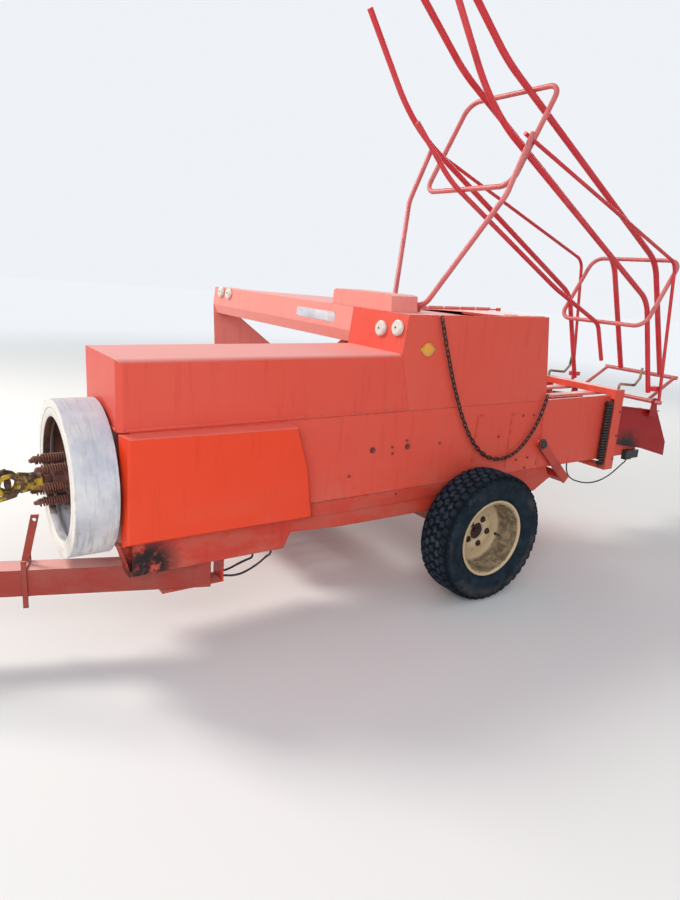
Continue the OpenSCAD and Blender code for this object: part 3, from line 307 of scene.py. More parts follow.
def paint(name, base, fade=0.5, rust=0.5, dirt=0.5, gloss=0.42, seed=0.0, top_highlight=0.0, stain=None):
    """Old paint on steel: faded in patches, paler on top faces as a painted highlight, scratched and rusty at
    its edges, dusty low down.
    """
    colours = bpy.context.scene.baler_colours
    wear = bpy.context.scene.baler_sizes.edge_wear
    f = Finish(name)
    base = Vector(base)
    pale = base * 0.72 + Vector((0.30, 0.16, 0.13)) * 0.62
    deep = Vector((base.x * 0.80, base.y * 0.62, base.z * 0.62))
    shift = (seed, seed * 1.7, seed * 0.6)
    patches = f.noise(1.3, 3.0, 0.5, shift=shift)
    clouds = f.noise(6.0, 5.0, 0.6, shift=shift)
    grain = f.noise(160.0, 3.0, 0.6)
    streaks = f.noise(9.0, 4.0, 0.6, stretch=(3.2, 3.2, 0.35), shift=shift)
    edges = f.edges(wear)
    faded = (patches.step(0.42, 0.72) * 0.6 + clouds.step(0.5, 0.8) * 0.4) * fade
    shade = f.mix(base, pale, faded)
    shade = f.mix(shade, deep, streaks.step(0.52, 0.78) * 0.45)
    # Top faces mixed towards pale pink: a painted highlight of sun and sky glare on the tops
    if top_highlight:
        shade = f.mix(shade, Vector((0.84, 0.42, 0.38)), f.upward() * (0.75 + 0.25 * clouds) * top_highlight)
    chips = (f.noise(38.0, 5.0, 0.68, shift=shift) + edges * 0.34 * (0.4 + rust)).step(0.735, 0.775)
    spots = f.noise(14.0, 6.0, 0.72, shift=shift).step(0.80 - 0.14 * rust, 0.83 - 0.14 * rust)
    rusted = chips.most(spots * rust)
    brown = f.mix(colours.rust, (0.30, 0.10, 0.035), f.noise(90.0, 4.0, 0.6).step(0.4, 0.7))
    shade = f.mix(shade, brown, rusted)
    low = f.height().step(0.85, 0.38) * f.noise(5.0, 6.0, 0.66, stretch=(1, 1, 2.2)).step(0.38, 0.66)
    dusty = (low * 0.75 + f.upward() * f.noise(7.0, 6.0, 0.7).step(0.42, 0.75) * 0.35) * dirt
    shade = f.mix(shade, colours.dust, dusty)
    if stain:
        oily = f.distance(stain).step(0.17, 0.05) * f.noise(18.0, 6.0, 0.7).step(0.32, 0.52)
        shade = f.mix(shade, (0.010, 0.006, 0.006), oily)
    f.set(Base_Color=shade, Specular_IOR_Level=0.36)
    f.set(Roughness=gloss + 0.12 * clouds + 0.34 * rusted.most(dusty) + 0.04 * grain)
    f.bump(grain * 0.12 + f.noise(3.2, 2.0, 0.4) * 1.0 - rusted * 0.30, 0.35, 0.0035, wear * 0.5)
    return f.material


def tube_paint(name, base, seed=0.0, fade=0.3):
    """Glossy old paint on bent tube: a little sun fade, small chips and rust freckles."""
    colours = bpy.context.scene.baler_colours
    f = Finish(name)
    base = Vector(base)
    shift = (seed, seed * 1.3, seed * 0.7)
    patches = f.noise(3.0, 4.0, 0.55, shift=shift)
    freckles = f.noise(55.0, 5.0, 0.7, shift=shift)
    shade = f.mix(base, base * 0.75 + Vector((0.21, 0.10, 0.09)), patches.step(0.40, 0.70) * fade)
    shade = f.mix(shade, Vector((base.x * 0.62, base.y * 0.5, base.z * 0.5)),
                  f.noise(9.0, 4.0, 0.6, shift=shift).step(0.50, 0.72) * 0.5)
    chips = freckles.step(0.69, 0.72)
    shade = f.mix(shade, f.mix(colours.rust, (0.26, 0.085, 0.03), patches.step(0.4, 0.6)), chips)
    f.set(Base_Color=shade, Roughness=0.34 + 0.12 * patches + 0.3 * chips)
    f.bump(patches * 0.4 + freckles * 0.25, 0.12, 0.0015)
    return f.material


def rusty_iron(name, seed=0.0, base=None):
    """Bare castings and forgings, rusted brown with orange and black patches."""
    f = Finish(name)
    shift = (seed, seed, seed)
    patches = f.noise(22.0, 6.0, 0.66, shift=shift)
    fine = f.noise(150.0, 5.0, 0.7)
    brown = base or bpy.context.scene.baler_colours.rust
    shade = f.mix(brown, (0.27, 0.095, 0.035), patches.step(0.45, 0.7))
    shade = f.mix(shade, (0.035, 0.026, 0.024), f.noise(11.0, 5.0, 0.6, shift=shift).step(0.52, 0.72))
    shade = f.mix(shade, (0.34, 0.27, 0.21), f.edges(0.004) * 0.35)
    f.set(Base_Color=shade, Metallic=0.15, Roughness=0.62 + 0.25 * fine)
    f.bump(fine * 0.6 + patches, 0.5, 0.0018, 0.002)
    return f.material


def rusty_hub():
    """Dark, greasy rust of the hubs, nuts and chain."""
    return made_once({"dark_rust": lambda: oily_steel("dark_rust", (0.050, 0.026, 0.022), 0.52)}, "dark_rust")


def oily_steel(name, base=(0.055, 0.050, 0.048), gloss=0.45):
    """Dark steel with rust in patches and bright worn edges."""
    f = Finish(name)
    patches = f.noise(30.0, 5.0, 0.65)
    shade = f.mix(base, (0.16, 0.075, 0.045), patches.step(0.52, 0.68))
    shade = f.mix(shade, (0.30, 0.26, 0.22), f.edges(0.003) * 0.4)
    f.set(Base_Color=shade, Metallic=0.55, Roughness=gloss + 0.3 * patches)
    f.bump(patches, 0.35, 0.001, 0.0015)
    return f.material


def chipped_white(name, wheel=None):
    """Off-white paint on the cast flywheel, brushed along its turn and chipped; a cream front face as a
    painted highlight, and rust-brown inside its rim above a jagged line as painted shadow.
    """
    f = Finish(name)
    colours = bpy.context.scene.baler_colours
    clouds = f.noise(5.0, 6.0, 0.62)
    brushed = f.noise(60.0, 4.0, 0.7, stretch=(1.0, 0.12, 0.12))
    fine = f.noise(140.0, 4.0, 0.6)
    edges = f.edges(0.006)
    shade = f.mix((0.52, 0.52, 0.58), (0.70, 0.68, 0.68), clouds.step(0.38, 0.66))
    low = f.height().step(0.85, 0.50)
    shade = f.mix(shade, (0.34, 0.31, 0.29), brushed.step(0.47, 0.66) * (0.35 + 0.45 * low))
    chips = (f.noise(26.0, 6.0, 0.74) + edges * 0.15).step(0.70, 0.72)
    shade = f.mix(shade, (0.05, 0.038, 0.04), chips)
    shade = f.mix(shade, (0.42, 0.35, 0.27), f.noise(4.0, 5.0, 0.6).step(0.50, 0.75) * low * 0.6)
    if wheel:
        centre, radius, front = wheel
        # The front face is painted lighter cream than the rim's side: a painted highlight of the sun on the
        # front face
        ahead = f.add("ShaderNodeSeparateXYZ", None, {0: f.place}, out="X").step(front + 0.004, front + 0.001)
        shade = f.mix(shade, (0.88, 0.83, 0.74), ahead * (1.0 - chips) * 0.85)
        # Inside the bore and above a jagged line, rust-brown with dark patches: painted shadow of the rim on
        # its inner surface and web
        shadow_line = f.height() + f.noise(22.0, 6.0, 0.7) * 0.10
        bare = f.distance(centre, (0, 1, 1)).step(radius, radius - 0.001) * shadow_line.step(0.60, 0.64)
        brown = f.mix(colours.rust, (0.15, 0.058, 0.034), f.noise(16.0, 6.0, 0.66).step(0.42, 0.7))
        brown = f.mix(brown, (0.030, 0.018, 0.016), f.noise(7.0, 5.0, 0.6).step(0.44, 0.66))
        shade = f.mix(shade, brown, bare)
    f.set(Base_Color=shade, Roughness=0.56 + 0.2 * clouds)
    f.bump(fine * 0.35 + clouds * 0.7 + brushed * 0.25 - chips * 0.6, 0.45, 0.002, 0.003)
    return f.material


def worn_rubber(name, base, dust):
    """Old rubber with dried mud in patches."""
    f = Finish(name)
    colours = bpy.context.scene.baler_colours
    clouds = f.noise(12.0, 6.0, 0.68)
    fine = f.noise(220.0, 3.0, 0.6)
    shade = f.mix(base, Vector(base) * 2.4, clouds.step(0.4, 0.75))
    mud = f.noise(26.0, 6.0, 0.7).step(0.50, 0.72) * f.noise(5.0, 3.0, 0.5).step(0.38, 0.62)
    shade = f.mix(shade, colours.dust, mud * dust)
    f.set(Base_Color=shade, Roughness=0.66 + 0.18 * clouds)
    f.bump(fine * 0.3 + clouds * 0.4 + mud * 0.5, 0.4, 0.0012)
    return f.material


def tyre_rubber(name, centre, crown):
    """Weathered blue-grey rubber: scuffed block tops with a painted bluish highlight, painted shade in the
    grooves and a dusty band on the sidewall.
    """
    f = Finish(name)
    clouds = f.noise(12.0, 6.0, 0.68)
    fine = f.noise(220.0, 3.0, 0.6)
    radius = f.distance(centre, (1, 0, 1))
    shade = f.mix((0.007, 0.013, 0.020), (0.020, 0.034, 0.050), clouds.step(0.38, 0.72))
    # The outermost few millimetres, the block tops, mixed to a lighter blue: scuffs and a painted bluish
    # highlight
    scuffs_and_sheen = radius.step(crown - 0.0035, crown - 0.001) * f.noise(34.0, 5.0, 0.6).step(0.32, 0.68)
    shade = f.mix(shade, (0.060, 0.084, 0.115), scuffs_and_sheen * 0.6)
    # Between the block tops and the carcass, darker: painted shade in the grooves between blocks
    groove_shade = radius.step(crown - 0.0055, crown - 0.0085) * radius.step(crown - 0.034, crown - 0.020)
    shade = f.mix(shade, (0.003, 0.005, 0.007), groove_shade * 0.65)
    dusty = radius.step(0.255, 0.285) * radius.step(crown - 0.020, crown - 0.040)
    shade = f.mix(shade, (0.105, 0.088, 0.072), dusty * f.noise(7.0, 5.0, 0.66).step(0.44, 0.70) * 0.55)
    f.set(Base_Color=shade, Roughness=0.70 + 0.2 * clouds, Specular_IOR_Level=0.14)
    f.bump(fine * 0.3 + clouds * 0.5, 0.4, 0.0012)
    return f.material


def rim_paint(name, centre):
    """Aged cream paint on pressed steel: rust at chips and holes, and painted shade in the barrel in the
    brown of dried mud.
    """
    colours = bpy.context.scene.baler_colours
    f = Finish(name)
    base = Vector(colours.rim_tan)
    clouds = f.noise(14.0, 6.0, 0.62)
    radius = f.distance(centre, (1, 0, 1))
    shade = f.mix(base, base * 0.7 + Vector((0.26, 0.22, 0.16)), clouds.step(0.42, 0.7) * 0.6)
    # The barrel darkened in mud-brown with noisy patches: painted shade in the rim's well
    barrel_shade = radius.step(0.150, 0.171) * radius.step(0.1915, 0.181)
    mud = barrel_shade * (0.55 + 0.45 * f.noise(20.0, 6.0, 0.7).step(0.36, 0.62))
    shade = f.mix(shade, (0.125, 0.088, 0.055), mud)
    chips = (f.noise(34.0, 6.0, 0.72) + f.edges(0.004) * 0.16).step(0.68, 0.71)
    shade = f.mix(shade, f.mix(colours.rust, (0.27, 0.10, 0.04), clouds.step(0.4, 0.65)), chips)
    f.set(Base_Color=shade, Specular_IOR_Level=0.32)
    f.set(Roughness=0.48 + 0.14 * clouds + 0.3 * mud.most(chips))
    f.bump(clouds * 0.6 + mud * 0.4 - chips * 0.4, 0.35, 0.002, 0.002)
    return f.material


def worn_yellow(name):
    """Forging with the last of its yellow paint over dark rust."""
    f = Finish(name)
    patches = f.noise(17.0, 5.0, 0.62, shift=(3.1, 0.4, 1.7))
    fine = f.noise(150.0, 5.0, 0.7)
    bare = f.mix((0.060, 0.034, 0.026), (0.19, 0.085, 0.045), f.noise(30.0, 6.0, 0.66).step(0.42, 0.7))
    shade = f.mix(bare, (0.46, 0.30, 0.022), (patches - f.edges(0.004) * 0.12).step(0.49, 0.56))
    f.set(Base_Color=shade, Roughness=0.58 + 0.25 * fine, Specular_IOR_Level=0.35)
    f.bump(fine * 0.5 + patches, 0.5, 0.0018, 0.002)
    return f.material


def dark_plastic(name):
    """Black plastic, scuffed and finely grained."""
    f = Finish(name)
    fine = f.noise(320.0, 2.0, 0.5)
    scuffs = f.noise(18.0, 5.0, 0.7, stretch=(0.4, 2, 2)).step(0.55, 0.75)
    f.set(Base_Color=f.mix((0.022, 0.022, 0.024), (0.10, 0.095, 0.09), scuffs * 0.6))
    f.set(Roughness=0.5 + 0.2 * scuffs)
    f.bump(fine, 0.2, 0.0006, 0.002)
    return f.material


def lens(name, base):
    """A moulded reflector: small prisms under a smooth face."""
    f = Finish(name)
    prisms = f.cells(170.0)
    clouds = f.noise(30.0, 5.0, 0.6)
    dull = Vector(base) * 0.68 + Vector((0.10, 0.09, 0.075))
    f.set(Base_Color=f.mix(base, dull, clouds.step(0.4, 0.7)))
    f.set(Roughness=0.16 + 0.2 * clouds, Coat_Weight=0.4)
    f.bump(prisms, 0.35, 0.0012)
    return f.material


# Tone of single nodes: paint, fading, rust, dirt, gloss, painted highlight on top faces
TONES = {
    "front_box": ("panel_red", 0.26, 0.16, 0.20, 0.34, 0.75),
    "side_guard": ("guard", 0.05, 0.14, 0.12, 0.30, 0.30),
    "twine_housing": ("panel_red", 0.26, 0.26, 0.20, 0.36, 0.85),
    "housing_lid": ("panel_red", 0.45, 0.26, 0.30, 0.38, 0.85),
    "feeder_hood": ("hood", 0.55, 0.22, 0.20, 0.38, 0.75),
    "hood_cap": ("hood", 0.55, 0.22, 0.20, 0.40, 0.75),
    "bale_chamber": ("panel_red", 0.24, 0.40, 0.35, 0.38, 0.50),
    "bale_case": ("panel_red", 0.12, 0.52, 0.35, 0.40, 0.60),
    "frame_rails": ("frame", 0.08, 0.50, 0.24, 0.40, 0.45),
    "drawbar_bracket": ("frame", 0.10, 0.55, 0.20, 0.40, 0.80),
    "tension_frame": ("panel_red", 0.20, 0.55, 0.30, 0.44, 0.95),
    "tension_rails": ("hood", 0.80, 0.45, 0.40, 0.46, 0.90),
    "pickup_frame": ("panel_red", 0.30, 0.65, 0.60, 0.48, 0.40),
    "feed_floor": ("panel_red", 0.40, 0.60, 0.50, 0.44, 0.40),
    "chute_brackets": ("bracket", 0.04, 0.36, 0.12, 0.34, 0.10),
    "wind_guard": ("tube_red", 0.10, 0.60, 0.35, 0.42, 0.0),
    "axle": ("beam_red", 0.25, 0.85, 0.55, 0.50, 0.2),
    "drawbar": ("beam_red", 0.10, 0.60, 0.14, 0.42, 0.95),
}

# Where grease has darkened the paint of a node
STAINS = {
    "chute_brackets": (1.36, 0, 0.645),
    "frame_rails": (-1.735, 0, 0.440),
    "drawbar_bracket": (-1.735, 0, 0.425),
}


def made_once(makers, name):
    """A material that is made the first time it is asked for."""
    found = bpy.data.materials.get("aged_" + name)
    return found or makers[name]()


def slot_finish(slot):
    """The shared material of one of the record's material slots."""
    c = bpy.context.scene.baler_colours
    makers = {
        "faded_red": lambda: paint("faded_red", c.panel_red, 0.30, 0.40, 0.40, 0.42, 3.1),
        "deep_red": lambda: tube_paint("deep_red", c.tube_red, 5.3),
        "rusty_red": lambda: paint("rusty_red", c.beam_red, 0.25, 0.85, 0.55, 0.50, 7.7),
        "rust": lambda: rusty_iron("rust"),
        "dark_steel": lambda: oily_steel("dark_steel"),
        "off_white": lambda: chipped_white("off_white"),
        "yellow": lambda: worn_yellow("yellow"),
        "rim_tan": lambda: rim_paint("rim_tan", TYRE.mid),
        "tyre": lambda: tyre_rubber("tyre", TYRE.mid, TYRE.size.z / 2),
        "black_rubber": lambda: worn_rubber("black_rubber", (0.018, 0.018, 0.020), 0.2),
        "black_plastic": lambda: dark_plastic("black_plastic"),
        "reflector": lambda: lens("reflector", (0.72, 0.68, 0.60)),
        "amber": lambda: lens("amber", (0.85, 0.33, 0.01)),
    }
    return made_once(makers, slot)


def node_finish(node, slot):
    """The material of one CAD node, in its own tone where it has one."""
    c = bpy.context.scene.baler_colours
    single = {
        "flywheel": lambda: chipped_white("flywheel", (FLYWHEEL.mid, RIM_BORE, FLYWHEEL.low.x)),
        "flywheel_ring": lambda: chipped_white("flywheel_ring", (FLYWHEEL.mid, RING_BORE, FLYWHEEL.low.x)),
        "chute_hoops": lambda: tube_paint("chute_hoops", c.hoop_red, 3.7, 0.5),
        "chute_stay": lambda: tube_paint("chute_stay", Vector(c.hoop_red) * 0.96, 8.2, 0.7),
        "chute_base": lambda: tube_paint("chute_base", Vector(c.hoop_red) * 0.9, 6.1, 0.6),
        "needle_yoke": lambda: tube_paint("needle_yoke", Vector((0.50, 0.040, 0.024)), 4.4, 0.2),
        "tail_lamp": lambda: dark_plastic("tail_lamp"),
        "tension_cranks": lambda: rusty_iron("tension_cranks", 4.0, (0.34, 0.245, 0.17)),
    }
    if node in single:
        return made_once(single, node)
    if node not in TONES:
        return slot_finish(slot)
    tone, fade, rust, dirt, gloss, top_highlight = TONES[node]
    reds = {
        "panel_red": Vector(c.panel_red), "tube_red": Vector(c.tube_red), "beam_red": Vector(c.beam_red),
        "guard": Vector((0.80, 0.054, 0.014)), "bracket": Vector((0.34, 0.005, 0.006)),
        "hood": Vector((0.84, 0.27, 0.225)), "frame": Vector((0.56, 0.046, 0.026)),
    }
    seed = 1.0 + 2.3 * sorted(TONES).index(node)
    stain = at(*STAINS[node]) if node in STAINS else None
    return made_once(
        {node: lambda: paint(node, reds[tone], fade, rust, dirt, gloss, seed, top_highlight, stain)}, node)


def clear():
    bpy.ops.object.select_all(action="DESELECT")


def pick(*pieces):
    clear()
    for piece in pieces:
        piece.select_set(True)
    bpy.context.view_layer.objects.active = pieces[-1]


def settle(piece):
    """Puts a piece's place, turn and size into its mesh."""
    pick(piece)
    bpy.ops.object.transform_apply(location=True, rotation=True, scale=True)
    return piece


def choose(piece, test):
    """Selects a piece's faces by a test on each one, and leaves it in edit mode."""
    if bpy.context.mode != "OBJECT":
        bpy.ops.object.mode_set(mode="OBJECT")
    pick(piece)
    bpy.ops.object.mode_set(mode="EDIT")
    bpy.ops.mesh.select_mode(type="FACE")
    bpy.ops.mesh.select_all(action="DESELECT")
    bpy.ops.object.mode_set(mode="OBJECT")
    for face in piece.data.polygons:
        face.select = test(face)
    bpy.ops.object.mode_set(mode="EDIT")


def trace(name, points):
    """A line of edges, drawn out point by point from one vertex."""
    points = [Vector(p) for p in points]
    clear()
    bpy.ops.mesh.primitive_plane_add(size=0.01, location=points[0])
    piece = settle(bpy.context.object)
    piece.name = name
    bpy.ops.object.mode_set(mode="EDIT")
    bpy.ops.mesh.select_mode(type="VERT")
    bpy.ops.mesh.select_all(action="SELECT")
    bpy.ops.mesh.merge(type="CENTER")
    for start, end in zip(points, points[1:]):
        bpy.ops.mesh.extrude_region_move(TRANSFORM_OT_translate={"value": end - start})
    bpy.ops.object.mode_set(mode="OBJECT")
    return piece


def spun(piece, centre, axis, steps):
    """The line of edges spun once round an axis, as a closed skin."""
    pick(piece)
    bpy.ops.object.mode_set(mode="EDIT")
    bpy.ops.mesh.select_all(action="SELECT")
    bpy.ops.mesh.spin(steps=steps, angle=math.tau, center=centre, axis=axis)
    bpy.ops.mesh.select_all(action="SELECT")
    bpy.ops.mesh.remove_doubles(threshold=0.00005)
    bpy.ops.mesh.normals_make_consistent(inside=False)
    bpy.ops.object.mode_set(mode="OBJECT")
    return piece


def turned(name, profile, centre, axis, steps=48):
    """A lathe-turned piece from a profile of radius and height, spun about an axis."""
    piece = spun(trace(name, [(r, 0, h) for r, h in profile]), (0, 0, 0), (0, 0, 1), steps)
    piece.matrix_world = facing(centre, axis)
    settle(piece)
    bpy.ops.object.shade_smooth_by_angle(angle=math.radians(40))
    return piece


def apply_modifier(piece, kind, **settings):
    """Adds a modifier with its settings and applies it."""
    pick(piece)
    modifier = piece.modifiers.new(kind.title(), kind)
    for key, value in settings.items():
        setattr(modifier, key, value)
    bpy.ops.object.modifier_apply(modifier=modifier.name)
    return piece


def soften(piece, width, steps=2, angle=35):
    """Rounds the sharp edges and shades the piece smooth between them."""
    apply_modifier(piece, "BEVEL", width=width, segments=steps, limit_method="ANGLE",
                   angle_limit=math.radians(angle))
    pick(piece)
    bpy.ops.object.shade_smooth_by_angle(angle=math.radians(40))
    return piece


def slab(name, low, high, width=0.002):
    """A rounded block between two corners."""
    low, high = Vector(low), Vector(high)
    clear()
    bpy.ops.mesh.primitive_cube_add(size=1, location=(low + high) / 2, scale=high - low)
    piece = bpy.context.object
    piece.name = name
    return soften(settle(piece), width)


def rod(name, start, end, radius, sides=20, width=0.001):
    """A round bar between two places, with rounded ends."""
    start, end = Vector(start), Vector(end)
    clear()
    bpy.ops.mesh.primitive_cylinder_add(
        vertices=sides, radius=radius, depth=(end - start).length, location=(start + end) / 2,
        rotation=(end - start).to_track_quat("Z", "Y").to_euler())
    piece = bpy.context.object
    piece.name = name
    return soften(settle(piece), width, 2, 50)


def join(name, pieces):
    """One piece from several, with its place in its mesh."""
    pick(*pieces)
    if len(pieces) > 1:
        bpy.ops.object.join()
    piece = bpy.context.object
    piece.name = name
    return settle(piece)


def spread(name, pattern, places):
    """Copies of one modelled piece, each with its own mesh, joined into one piece."""
    copies = []
    for place in places:
        copied = pattern.copy()
        copied.data = pattern.data.copy()
        copied.matrix_world = place
        bpy.context.collection.objects.link(copied)
        copies.append(copied)
    bpy.data.objects.remove(pattern)
    return join(name, copies)


def dress(piece, body, slot, material=None, replaces=()):
    """Gives a piece its finish, its body and the nodes that it stands for."""
    piece.data.materials.clear()
    piece.data.materials.append(material or slot_finish(slot))
    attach(piece, body)
    if replaces:
        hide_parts(*replaces)
    return piece


def facing(place, outward, spin=0.0):
    """Matrix that puts a piece modelled on Z at a place, looking outwards."""
    turn = Vector(outward).to_track_quat("Z", "Y").to_matrix().to_4x4()
    return Matrix.Translation(Vector(place)) @ turn @ Matrix.Rotation(spin, 4, "Z")


def hex_bolt(name, width, washer=True):
    """A hexagon head on a washer, standing on Z."""
    clear()
    bpy.ops.mesh.primitive_cylinder_add(vertices=6, radius=width / 2, depth=width * 0.36,
                                        location=(0, 0, width * 0.30))
    head = settle(bpy.context.object)
    soften(head, width * 0.045, 1)
    parts = [head]
    if washer:
        bpy.ops.mesh.primitive_cylinder_add(vertices=16, radius=width * 0.72, depth=width * 0.12,
                                            location=(0, 0, width * 0.06))
        parts.append(soften(settle(bpy.context.object), width * 0.03, 1))
    return join(name, parts)


def lead(name, route, diameter, node):
    """A loose lead as a curve through its route."""
    clear()
    curve = bpy.data.curves.new(name, "CURVE")
    curve.dimensions = "3D"
    curve.bevel_depth = diameter / 2
    curve.bevel_resolution = 4
    curve.resolution_u = 6
    spline = curve.splines.new("BEZIER")
    spline.bezier_points.add(len(route) - 1)
    for point, place in zip(spline.bezier_points, route):
        point.co = at(*place)
        point.handle_left_type = point.handle_right_type = "AUTO"
    piece = bpy.data.objects.new(name, curve)
    bpy.context.collection.objects.link(piece)
    dress(piece, "machine", "black_rubber", replaces=[node])


class BALER_OT_stage(bpy.types.Operator):
    """Camera, floor, backdrop and soft studio lights"""

    bl_idname = "baler.stage"
    bl_label = "Stage"

    def execute(self, context):
        scene = context.scene
        scene.view_settings.view_transform = "Standard"
        data = bpy.data.cameras.new("camera")
        camera = bpy.data.objects.new("camera", data)
        scene.collection.objects.link(camera)
        yaw, pitch, roll = (math.radians(a) for a in (CAMERA_YAW, CAMERA_PITCH, CAMERA_ROLL))
        forward = Vector((math.sin(yaw) * math.cos(pitch), math.cos(yaw) * math.cos(pitch), -math.sin(pitch)))
        right = Vector((math.cos(yaw), -math.sin(yaw), 0))
        turn = Matrix((right, right.cross(forward), -forward)).transposed()
        camera.rotation_euler = (turn @ Matrix.Rotation(roll, 3, "Z")).to_euler()
        camera.location = at(*CAMERA_PLACE)
        data.lens = CAMERA_LENS
        data.sensor_width = CAMERA_FILM
        data.clip_end = 200
        scene.camera = camera
        self.ground()
        self.lights(scene)
        return {"FINISHED"}

    def ground(self):
        for name, place, turn in [
            ("floor", (0, 0, 0), (0, 0, 0)),
            ("backdrop", (20, 26, 0), (math.radians(90), 0, math.radians(-38))),
        ]:
            clear()
            bpy.ops.mesh.primitive_plane_add(size=160, location=place, rotation=turn)
            sheet = bpy.context.object
            sheet.name = name
            f = Finish(name)
            path = f.tree.nodes.new("ShaderNodeLightPath")
            seen = Flow(f, path.outputs["Is Camera Ray"])
            seen = seen.most(Flow(f, path.outputs["Is Glossy Ray"]))
            seen = seen.most(Flow(f, path.outputs["Is Transmission Ray"]))
            far = f.distance().step(4.5, 13.0) if name == "floor" else 1.0
            f.set(Roughness=0.9, Specular_IOR_Level=0.05, Emission_Strength=1.0)
            f.set(Base_Color=f.mix((0.80, 0.79, 0.77), (0, 0, 0), far))
            f.set(Emission_Color=f.mix((0, 0, 0), BACKGROUND, seen * far))
            sheet.data.materials.append(f.material)

    def lights(self, scene):
        world = bpy.data.worlds.new("studio")
        world.use_nodes = True
        tree = world.node_tree
        sky = tree.nodes["Background"]
        sky.inputs["Color"].default_value = (0.84, 0.91, 1.0, 1)
        sky.inputs["Strength"].default_value = 0.62
        seen = tree.nodes.new("ShaderNodeBackground")
        seen.inputs["Color"].default_value = (*BACKGROUND, 1)
        both = tree.nodes.new("ShaderNodeMixShader")
        path = tree.nodes.new("ShaderNodeLightPath")
        tree.links.new(path.outputs["Is Camera Ray"], both.inputs[0])
        tree.links.new(sky.outputs[0], both.inputs[1])
        tree.links.new(seen.outputs[0], both.inputs[2])
        tree.links.new(both.outputs[0], tree.nodes["World Output"].inputs["Surface"])
        scene.world = world
        middle = Vector((0, 0, 1))
        lamps = [
            ("sun", (-5.2, 5.6, 7.6), 2.6, 840, (1.0, 0.96, 0.90)),
            ("fill", (-5.0, -7.0, 4.2), 5.0, 360, (0.97, 0.98, 1.0)),
            ("rear", (7.0, 3.0, 4.5), 4.0, 170, (1.0, 0.98, 0.95)),
        ]
        for name, place, size, power, tint in lamps:
            lamp = bpy.data.lights.new(name, "AREA")
            lamp.size = size
            lamp.energy = power
            lamp.color = tint
            item = bpy.data.objects.new(name, lamp)
            item.location = place
            item.rotation_euler = (middle - Vector(place)).to_track_quat("-Z", "Y").to_euler()
            scene.collection.objects.link(item)


class BALER_OT_leads(bpy.types.Operator):
    """Two leads under the drawbar bracket and the lead of the tail lamp"""

    bl_idname = "baler.leads"
    bl_label = "Leads"

    def execute(self, context):
        lead("lead_front_upper", FRONT_LEAD_UPPER, 0.010, "front_lead_upper")
        lead("lead_front_lower", FRONT_LEAD_LOWER, 0.010, "front_lead_lower")
        lead("lead_tail", TAIL_LEAD, 0.008, "tail_lead")
        return {"FINISHED"}


class BALER_OT_finishes(bpy.types.Operator):
    """Paint, rust and rubber on the CAD nodes"""

    bl_idname = "baler.finishes"
    bl_label = "Finishes"

    def execute(self, context):
        for part in frame["record"]["subparts"]:
            node = frame["nodes"][part["node"]]
            node.data.materials.clear()
            node.data.materials.append(node_finish(part["node"], part["material_slot"]))
        return {"FINISHED"}


class BALER_OT_tyres(bpy.types.Operator):
    """Tyres with wide smooth sidewalls, a rounded shoulder and rows of small tread blocks"""

    bl_idname = "baler.tyres"
    bl_label = "Tyres"

    def execute(self, context):
        for box, body, node in [(TYRE, "left_wheel", "left_tyre"), (FAR_TYRE, "right_wheel", "right_tyre")]:
            tyre = join(node + "_tread", [self.blocks(box), self.carcass(box)])
            dress(tyre, body, "tyre", replaces=[node])
        return {"FINISHED"}

    def carcass(self, box):
        """A profile from one bead round the tread to the other, spun about the axle."""
        outer = box.size.z / 2 - bpy.context.scene.baler_sizes.block_height
        half = box.size.y / 2
        side = [
            (0.1847, half - 0.0295), (0.1900, half - 0.0285), (0.2140, half - 0.0282),
            (0.2165, half - 0.0235), (0.2250, half - 0.0140), (0.2400, half - 0.0055),
            (0.2580, half - 0.0012), (0.2760, half - 0.0004), (0.2930, half - 0.0010),
            (0.2950, half), (0.2990, half), (0.3010, half - 0.0016),
            (outer - 0.0230, half - 0.0058), (outer - 0.0130, half - 0.0145), (outer - 0.0060, half - 0.0255),
            (outer - 0.0018, half - 0.0380), (outer, half - 0.0520),
        ]
        line = [(r, -y) for r, y in side] + [(r, y) for r, y in reversed(side)]
        piece = trace("carcass", [box.mid + Vector((0, y, r)) for r, y in line + line[:1]])
        piece = spun(piece, box.mid, (0, 1, 0), 96)
        pick(piece)
        bpy.ops.object.shade_smooth_by_angle(angle=math.radians(50))
        return piece

    def block(self, long, wide, high):
        """One tread block that stands on Z: a cube with a smaller top and worn edges."""
        clear()
        bpy.ops.mesh.primitive_cube_add(size=1, location=(0, 0, high / 2), scale=(long, wide, high))
        piece = settle(bpy.context.object)
        choose(piece, lambda face: face.normal.z > 0.5)
        bpy.ops.transform.resize(value=(0.86, 0.84, 1))
        bpy.ops.object.mode_set(mode="OBJECT")
        return soften(piece, 0.0022, 1, 25)

    def blocks(self, box):
        """Rows of blocks round the tyre, each row shifted against the next one."""
        sizes = bpy.context.scene.baler_sizes
        outer = box.size.z / 2
        pitch = math.tau / sizes.block_count
        long = pitch * outer
        high = sizes.block_height + 0.0025
        rows = [  # place across, depth below the crown, lean, turn, length, width
            (0.0, 0.0008, 0.0, 0.34, 0.72, 0.030), (0.0365, 0.0008, 0.02, -0.40, 0.74, 0.031),
            (0.0715, 0.0034, 0.20, 0.26, 0.76, 0.032), (0.0915, 0.0170, 0.85, 0.0, 0.60, 0.019),
        ]
        groups = []
        for row, (across, below, lean, turn, share, wide) in enumerate(rows):
            places = []
            for side in (1, -1) if across else (1,):
                for i in range(sizes.block_count):
                    angle = (i + 0.5 * (row % 2) + (0.25 if side < 0 else 0)) * pitch
                    places.append(
                        Matrix.Translation(box.mid) @ Matrix.Rotation(angle, 4, "Y")
                        @ Matrix.Translation((0, side * across, outer - below - high))
                        @ Matrix.Rotation(-side * lean, 4, "X") @ Matrix.Rotation(side * turn, 4, "Z"))
            groups.append(spread("row", self.block(long * share, wide, high), places))
        return join("blocks", groups)


